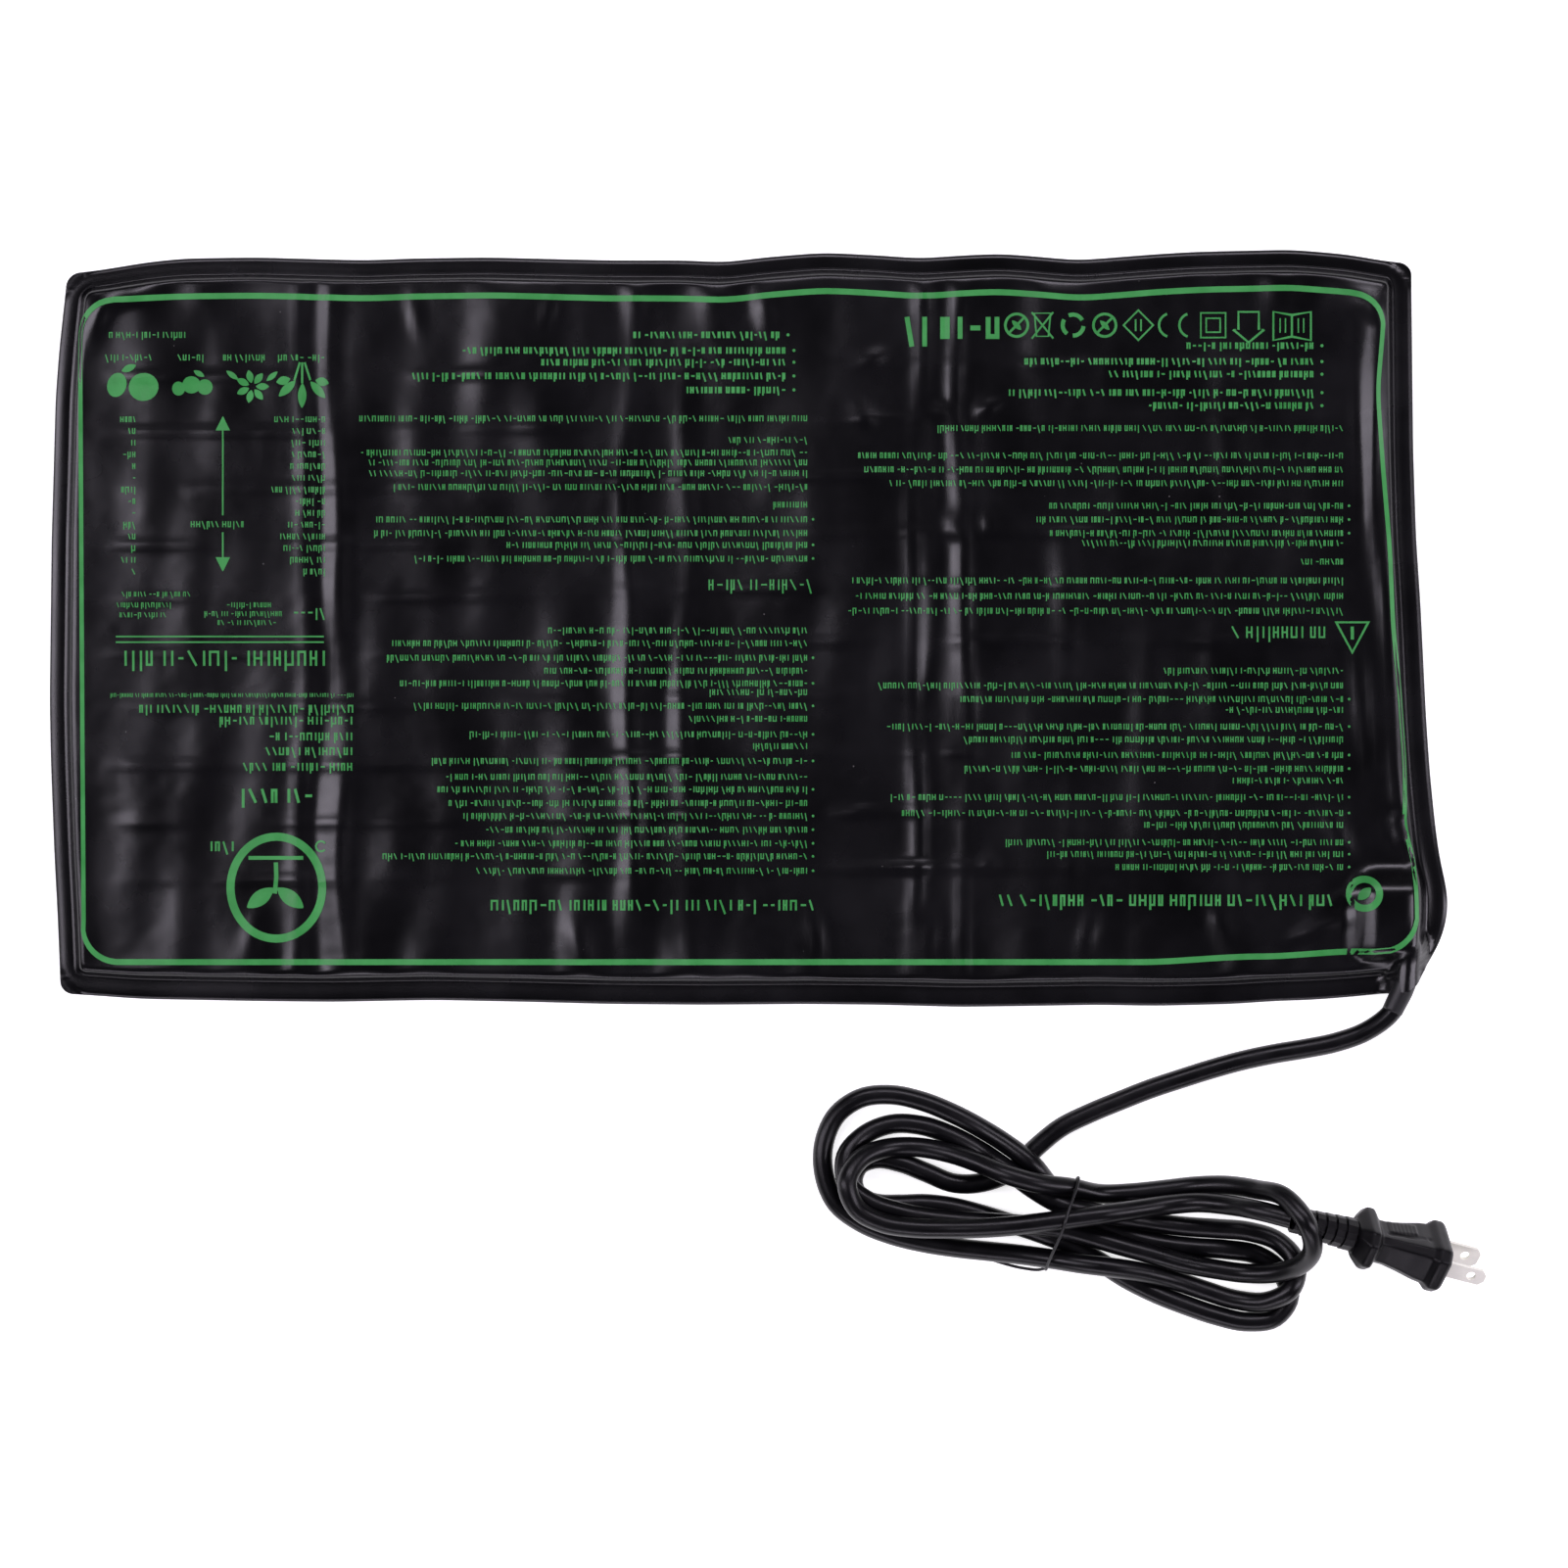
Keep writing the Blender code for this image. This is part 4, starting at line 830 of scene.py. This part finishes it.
# plain signs: a book, a house, a square in a square, an arc, a double arc, a lozenge, a barred circle,
# three arrows in a ring, a bin, a barred circle, and a bold word
sign_y = 113.6
stroke(((199.6, 108.0), (199.6, 118.6), (206.5, 117.4), (213.6, 118.6), (213.6, 108.0), (206.5, 109.4)), 0.9, True)
stroke(((206.5, 109.4), (206.5, 117.4)), 0.8)
for dx in (2.4, 4.4):
    stroke(((206.5 - dx, 110.8), (206.5 - dx, 116.2)), 0.5)
    stroke(((206.5 + dx, 110.8), (206.5 + dx, 116.2)), 0.5)
stroke(((186.6, 118.6), (186.6, 112.0), (184.6, 112.0), (190.4, 107.2), (196.2, 112.0), (194.2, 112.0),
        (194.2, 118.6)), 0.9, True)
for half in (4.6, 2.6):
    stroke(((177.2 - half, sign_y - half), (177.2 + half, sign_y - half), (177.2 + half, sign_y + half),
            (177.2 - half, sign_y + half)), 0.8, True)
ring(169.0, sign_y, 4.4, 0.9, 16, 1.9, 2.5)
ring(161.4, sign_y, 4.4, 0.9, 16, 1.9, 2.5)
stroke(((149.3, sign_y - 5.6), (154.8, sign_y), (149.3, sign_y + 5.6), (143.8, sign_y)), 0.9, True)
for dx in (-1.0, 1.0):
    stroke(((149.3 + dx, sign_y - 2.2), (149.3 + dx, sign_y + 2.2)), 0.6)
for cx in (136.8, 104.0):
    ring(cx, sign_y, 4.2, 1.0, 26)
    stroke(((cx - 3, sign_y - 3), (cx + 3, sign_y + 3)), 0.9)
    leaf(cx, sign_y, 5.0, 2.0, -0.8)
for k in range(3):
    at = 2 * math.pi * k / 3 + 0.5
    ring(125.0, sign_y, 3.9, 1.5, 10, at, 1.5)
stroke(((110.6, 118.0), (111.4, 109.4), (115.8, 109.4), (116.6, 118.0)), 0.7, True)
stroke(((109.6, 108.6), (117.6, 118.4)), 0.7)
stroke(((117.6, 108.6), (109.6, 118.4)), 0.7)
greeked(97.6, 61.4, sign_y - 1.0, 8.2, 305, weight=0.22)

ink = np.array(ink_quads, float)
# long patches are cut up along their longer side so that they follow the cover's relief
pieces = []
side_a = np.linalg.norm(ink[:, 1] - ink[:, 0], axis=1)
side_b = np.linalg.norm(ink[:, 3] - ink[:, 0], axis=1)
for quad, a, b in zip(ink, side_a, side_b):
    parts = max(1, math.ceil(max(a, b) / 1.6))
    share = np.linspace(0, 1, parts + 1)[:, None]
    start, end = (quad[[0, 3]], quad[[1, 2]]) if a >= b else (quad[[0, 1]], quad[[3, 2]])
    one = start[0] + (end[0] - start[0]) * share
    two = start[1] + (end[1] - start[1]) * share
    pieces.append(np.stack([one[:-1], one[1:], two[1:], two[:-1]], 1))
ink = np.concatenate(pieces)
turned = np.cross(ink[:, 1] - ink[:, 0], ink[:, 2] - ink[:, 0]) < 0
ink[turned] = ink[turned][:, ::-1]
flat = ink.reshape(-1, 2)
height = on_cover(flat[:, 0], flat[:, 1])
top = np.c_[flat, height + INK_LIFT + INK]
base = np.c_[flat, height - 0.10]
count = len(ink)
number = np.arange(count * 4).reshape(-1, 4)
faces = [number, number[:, ::-1] + count * 4]
for i in range(4):
    j = (i + 1) % 4
    faces.append(np.stack([number[:, j], number[:, i], number[:, i] + count * 4, number[:, j] + count * 4], 1))
ink_mesh = bpy.data.meshes.new("print_ink")
ink_mesh.from_pydata((np.vstack([top, base]) * MM).tolist(), [], np.concatenate(faces).tolist())
print_layer = bpy.data.objects.new("print_ink", ink_mesh)
bpy.context.collection.objects.link(print_layer)

ink_paint = skin_material(
    "print_ink",
    dark=(0.030, 0.262, 0.050),
    light=(0.052, 0.345, 0.078),
    rough=(0.38, 0.52),
    grain_size=0.35,
    bump=0.010,
    patch_size=9,
)
print_layer.data.materials.append(ink_paint)
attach(print_layer, "root")


# Strain relief at the mat: a soft PVC sleeve moulded on the lead where it enters the covers. It tapers
# towards the floor side and is almost hidden in the covers' tunnel.
relief_line = smooth_line([(249.0, -118.4, 6.0), (249.8, -122.5, 6.0), (249.4, -127.0, 6.1), *lead_points[:2]], 0.8) * MM


def turned_along(name, line, radii, sides):
    """A closed round tube along a line with a radius at each point. Its rings turn with the line by the
    smallest turn from each to the next, and a flat cap of triangles closes each end."""
    heading = np.gradient(line, axis=0)
    heading /= np.linalg.norm(heading, axis=1)[:, None]
    across = np.cross(heading[0], (0, 0, 1))
    frames = []
    for unit in heading:
        across = across - unit * (across @ unit)
        across /= np.linalg.norm(across)
        frames.append((across, np.cross(unit, across)))
    frames = np.array(frames)
    t = np.linspace(0, 2 * math.pi, sides, endpoint=False)
    circle = np.cos(t)[None, :, None] * frames[:, None, 0] + np.sin(t)[None, :, None] * frames[:, None, 1]
    points = line[:, None] + circle * np.asarray(radii)[:, None, None]
    rings = len(line)
    number = np.arange(rings * sides).reshape(rings, sides)
    after = np.roll(number, -1, axis=1)
    quads = np.stack([number[:-1], after[:-1], after[1:], number[1:]], -1).reshape(-1, 4).tolist()
    ends = [number[0, ::-1].tolist(), number[-1].tolist()]
    mesh = bpy.data.meshes.new(name)
    mesh.from_pydata(points.reshape(-1, 3).tolist(), [], quads + ends)
    mesh.polygons.foreach_set("use_smooth", [True] * len(quads) + [False, False])
    piece = bpy.data.objects.new(name, mesh)
    bpy.context.collection.objects.link(piece)
    return piece


relief_share = np.linspace(0, 1, len(relief_line))
mat_relief = turned_along(
    "mat_relief_sleeve", relief_line, (4.6 - 0.7 * relief_share) * MM, 28
)
relief_skin = skin_material(
    "relief_rubber",
    dark=(0.005, 0.005, 0.006),
    light=(0.008, 0.008, 0.010),
    rough=(0.42, 0.55),
    grain_size=0.5,
    bump=0.02,
    patch_size=8,
)
mat_relief.data.materials.append(relief_skin)
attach(mat_relief, "root")
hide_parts("mat_strain_relief")


# Plug: one moulding of black PVC over the blades' bridge, waisted for a grip, with a ribbed strain
# relief moulded in the same shot, and two nickel-plated brass blades, one wider than the other.
plug_skin = skin_material(
    "plug_moulding",
    dark=(0.0013, 0.0011, 0.0017),
    light=(0.0026, 0.0023, 0.0034),
    rough=(0.33, 0.44),
    grain_size=0.45,
    bump=0.03,
    patch_size=7,
    dust_share=0.4,
    Specular_IOR_Level=0.20,
)
nickel = skin_material(
    "blade_nickel",
    dark=(0.76, 0.75, 0.67),
    light=(0.83, 0.82, 0.73),
    rough=(0.34, 0.42),
    grain_size=0.5,
    bump=0.001,
    patch_size=4,
    Metallic=0.25,
)


def refinish(node, material):
    """A CAD node keeps its shape and takes this material in all its slots."""
    data = cad_nodes[node].data
    if not data.materials:
        data.materials.append(material)
    for index in range(len(data.materials)):
        data.materials[index] = material


# The body is a loft: an eight-sided section at each place along it, its corners rounded by averaging
# round the section and along the body. One broad face carries a raised panel of fine ribs with a
# groove beside it.
PLUG_FACE = (261.089 * MM, -233.015 * MM, 13.8 * MM)
PLUG_LENGTH = 35.8
plug_place = (
    Matrix.Translation(PLUG_FACE)
    @ Matrix.Rotation(math.radians(-15.2), 4, "Z")
    @ Matrix.Rotation(math.radians(15), 4, "Y")
    @ Matrix.Rotation(math.radians(-61), 4, "X")
)
# along from the rear, half the size across the blades, half the thickness, chamfer
plug_sections = np.array([
    (0.0, 6.4, 5.8, 2.2), (0.5, 7.4, 6.6, 2.5), (3.4, 11.8, 8.4, 4.0), (4.0, 12.2, 8.6, 4.0), (6.5, 12.2, 8.6, 4.0),
    (7.1, 11.6, 8.3, 3.8), (9.0, 7.5, 6.1, 2.2), (13.0, 7.6, 6.1, 2.2), (19.0, 8.8, 6.8, 2.4), (25.3, 10.2, 7.8, 2.6),
    (28.8, 10.8, 8.1, 2.8), (30.6, 12.9, 9.5, 3.6), (31.0, 13.1, 9.7, 3.6), (34.2, 13.1, 9.7, 3.6),
    (35.3, 12.5, 9.2, 3.5), (35.8, 11.8, 8.6, 3.3),
])
along = np.linspace(0, PLUG_LENGTH, 90)
half_y, half_z, chamfer = (np.interp(along, plug_sections[:, 0], plug_sections[:, k])[:, None] for k in (1, 2, 3))
corner_y = np.hstack([half_y, half_y - chamfer, chamfer - half_y, -half_y, -half_y, chamfer - half_y,
                      half_y - chamfer, half_y])
corner_z = np.hstack([half_z - chamfer, half_z, half_z, half_z - chamfer, chamfer - half_z, -half_z, -half_z,
                      chamfer - half_z])
PER_SIDE = 18
blend = np.tile(np.linspace(0, 1, PER_SIDE, endpoint=False), 8)
first = np.repeat(np.arange(8), PER_SIDE)
body_y = corner_y[:, first] * (1 - blend) + corner_y[:, (first + 1) % 8] * blend
body_z = corner_z[:, first] * (1 - blend) + corner_z[:, (first + 1) % 8] * blend
for _ in range(4):
    body_y = (np.roll(body_y, 1, 1) + 2 * body_y + np.roll(body_y, -1, 1)) / 4
    body_z = (np.roll(body_z, 1, 1) + 2 * body_z + np.roll(body_z, -1, 1)) / 4
for _ in range(2):
    body_y[1:-1] = (body_y[:-2] + 2 * body_y[1:-1] + body_y[2:]) / 4
    body_z[1:-1] = (body_z[:-2] + 2 * body_z[1:-1] + body_z[2:]) / 4
body_x = np.repeat(along[:, None], 8 * PER_SIDE, 1)


def panel_mask(x, y, x0, x1, y0, y1, soft):
    """1 inside a rectangle, easing to 0 over `soft` at its edges."""
    return ease(x, x0, x0 + soft) * (1 - ease(x, x1 - soft, x1)) * ease(y, y0, y0 + soft) * (1 - ease(y, y1 - soft, y1))


broad = ease(body_z, 4.5, 5.6)
ribs = 0.5 + 0.5 * np.cos(2 * math.pi * body_x / 1.5)
body_z = body_z + broad * (0.30 + 0.16 * ribs) * panel_mask(body_x, body_y, 12.0, 23.5, -1.6, 5.6, 0.5)
body_z = body_z - broad * 0.40 * panel_mask(body_x, body_y, 11.0, 26.0, -3.4, -2.2, 0.5)
body_z = body_z - broad * 0.45 * np.exp(-((np.hypot(body_x - 27.6, body_y + 2.8) / 0.8) ** 2))
local = np.stack([body_x - PLUG_LENGTH, body_y, body_z], -1).reshape(-1, 3) * MM
turn_by = np.array(plug_place)
points = local @ turn_by[:3, :3].T + turn_by[:3, 3]
number = np.arange(len(points)).reshape(len(along), -1)
after = np.roll(number, -1, axis=1)
quads = np.stack([number[:-1], number[1:], after[1:], after[:-1]], -1).reshape(-1, 4).tolist()
body_mesh = bpy.data.meshes.new("plug_moulded_body")
body_mesh.from_pydata(points.tolist(), [], quads + [number[0].tolist(), number[-1, ::-1].tolist()])
body_mesh.polygons.foreach_set("use_smooth", [True] * len(quads) + [False, False])
repair = bmesh.new()
repair.from_mesh(body_mesh)
bmesh.ops.recalc_face_normals(repair, faces=repair.faces)
repair.to_mesh(body_mesh)
repair.free()
plug_shell = bpy.data.objects.new("plug_moulded_body", body_mesh)
bpy.context.collection.objects.link(plug_shell)
plug_shell.data.materials.append(plug_skin)
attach(plug_shell, "root")
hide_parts("plug_body")
refinish("plug_strain_relief", plug_skin)
for node in ("blade_live", "blade_neutral"):
    refinish(node, nickel)


# Inside the mat: foam, two foils and the heating wire between them, then the splice block with its
# crimps and sleeves, where the lead's cores meet the wire. They keep their CAD shapes.
foam = skin_material("foam", (0.62, 0.62, 0.60), (0.72, 0.72, 0.70), (0.8, 0.95), 0.8, 0.15, 12)
foil = skin_material("foil", (0.75, 0.76, 0.78), (0.86, 0.87, 0.88), (0.25, 0.4), 0.5, 0.02, 8, Metallic=1.0)
wire = skin_material("wire_insulation", (0.55, 0.52, 0.48), (0.66, 0.63, 0.58), (0.4, 0.55), 0.4, 0.01, 10)
block = skin_material("splice_plastic", (0.05, 0.05, 0.055), (0.08, 0.08, 0.085), (0.4, 0.55), 0.5, 0.02, 8)
live = skin_material("core_live", (0.004, 0.004, 0.005), (0.008, 0.008, 0.009), (0.35, 0.5), 0.4, 0.01, 6)
neutral = skin_material("core_neutral", (0.62, 0.62, 0.60), (0.74, 0.74, 0.72), (0.35, 0.5), 0.4, 0.01, 6)
tin = skin_material("crimp_metal", (0.60, 0.59, 0.57), (0.75, 0.74, 0.72), (0.2, 0.35), 0.3, 0.01, 3, Metallic=1.0)
sleeve = skin_material("shrink_sleeve", (0.010, 0.010, 0.012), (0.018, 0.018, 0.02), (0.4, 0.6), 0.4, 0.02, 4)
bridge = skin_material("bridge_plastic", (0.45, 0.45, 0.43), (0.55, 0.55, 0.53), (0.45, 0.6), 0.5, 0.02, 6)
inside = {
    "foam_pad": foam, "lower_foil": foil, "upper_foil": foil, "heating_wire": wire, "splice_base": block,
    "splice_lid": block, "lead_live": live, "lead_neutral": neutral, "crimp_live": tin,
    "crimp_neutral": tin, "sleeve_live": sleeve, "sleeve_neutral": sleeve, "plug_bridge": bridge,
}
for node, material in inside.items():
    refinish(node, material)


PAD_CORNER, PAD_TRIM = 16 * MM, 3 * MM


def pad_layer(node, corner, sides=10):
    """The same layer as the CAD node, with its corners cut round to clear the cover's drawn-in ones:
    a rounded rectangle at two heights, walled round, its two faces fans about a middle point."""
    low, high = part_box(node)
    low, high = Vector((low.x + PAD_TRIM, low.y + PAD_TRIM, low.z)), Vector((high.x - PAD_TRIM, high.y - PAD_TRIM, high.z))
    t = np.linspace(0, math.pi / 2, sides)
    outline = []
    for k, (sx, sy) in enumerate(((1, 1), (-1, 1), (-1, -1), (1, -1))):
        cx = (high.x if sx > 0 else low.x) - sx * corner
        cy = (high.y if sy > 0 else low.y) - sy * corner
        outline.append(np.c_[cx + corner * np.cos(t + k * math.pi / 2), cy + corner * np.sin(t + k * math.pi / 2)])
    outline = np.concatenate(outline)
    count = len(outline)
    middle = outline.mean(0)
    points = np.vstack(
        [np.c_[outline, np.full(count, low.z)], np.c_[outline, np.full(count, high.z)],
         [[*middle, low.z], [*middle, high.z]]]
    )
    i = np.arange(count)
    j = (i + 1) % count
    walls = np.stack([i, j, j + count, i + count], 1).tolist()
    fans = np.vstack([np.stack([j, i, np.full(count, 2 * count)], 1),
                      np.stack([i + count, j + count, np.full(count, 2 * count + 1)], 1)]).tolist()
    mesh = bpy.data.meshes.new(node + "_cut")
    mesh.from_pydata(points.tolist(), [], walls + fans)
    piece = bpy.data.objects.new(node + "_cut", mesh)
    bpy.context.collection.objects.link(piece)
    mesh.materials.append(inside[node])
    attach(piece, "root")
    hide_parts(node)
    return piece


foam_layer = pad_layer("foam_pad", PAD_CORNER)
for node in ("lower_foil", "upper_foil"):
    pad_layer(node, PAD_CORNER)


# Floor and light: a white sweep under the mat, and soft panels low on all four sides, so that level
# PVC stays dark and its folds catch the light.
floor_mesh = bpy.data.meshes.new("floor")
FLOOR_HALF = 6.0
floor_mesh.from_pydata(
    [(-FLOOR_HALF, -FLOOR_HALF, -0.0002), (FLOOR_HALF, -FLOOR_HALF, -0.0002),
     (FLOOR_HALF, FLOOR_HALF, -0.0002), (-FLOOR_HALF, FLOOR_HALF, -0.0002)], [], [(0, 1, 2, 3)]
)
floor = bpy.data.objects.new("floor", floor_mesh)
bpy.context.collection.objects.link(floor)
floor_paint = bpy.data.materials.new("floor_white")
floor_paint.use_nodes = True
shader = floor_paint.node_tree.nodes["Principled BSDF"]
shader.inputs["Base Color"].default_value = (0.93, 0.93, 0.935, 1)
shader.inputs["Roughness"].default_value = 0.9
shader.inputs["Specular IOR Level"].default_value = 0.1
shader.inputs["Emission Color"].default_value = (1, 1, 1, 1)
shader.inputs["Emission Strength"].default_value = 0.75
floor.data.materials.append(floor_paint)


def panel(name, place, aim, size, power, colour=(1.0, 0.93, 1.07)):
    """A soft rectangular light at a place, facing a point."""
    light = bpy.data.lights.new(name, "AREA")
    light.shape = "RECTANGLE"
    light.size, light.size_y = size
    light.energy = power
    light.color = colour
    lamp = bpy.data.objects.new(name, light)
    lamp.location = place
    lamp.rotation_euler = (Vector(aim) - Vector(place)).to_track_quat("-Z", "Y").to_euler()
    bpy.context.collection.objects.link(lamp)


panel("left_panel", (-3.1, 0.3, 3.5), (0, 0, 0), (1.0, 4.5), 100)
panel("far_panel", (0.8, 3.1, 3.5), (0, 0, 0), (4.5, 0.9), 90)
panel("right_panel", (4.2, -0.6, 3.0), (0, 0, 0), (1.2, 4.5), 114)
panel("near_panel", (-0.4, -4.2, 2.4), (0, 0, 0), (4.5, 1.0), 66)
world = bpy.data.worlds.new("studio")
world.use_nodes = True
world.node_tree.nodes["Background"].inputs["Color"].default_value = (0.93, 0.95, 1.0, 1)
world.node_tree.nodes["Background"].inputs["Strength"].default_value = 0.03
bpy.context.scene.world = world
bpy.context.scene.view_settings.view_transform = "Standard"
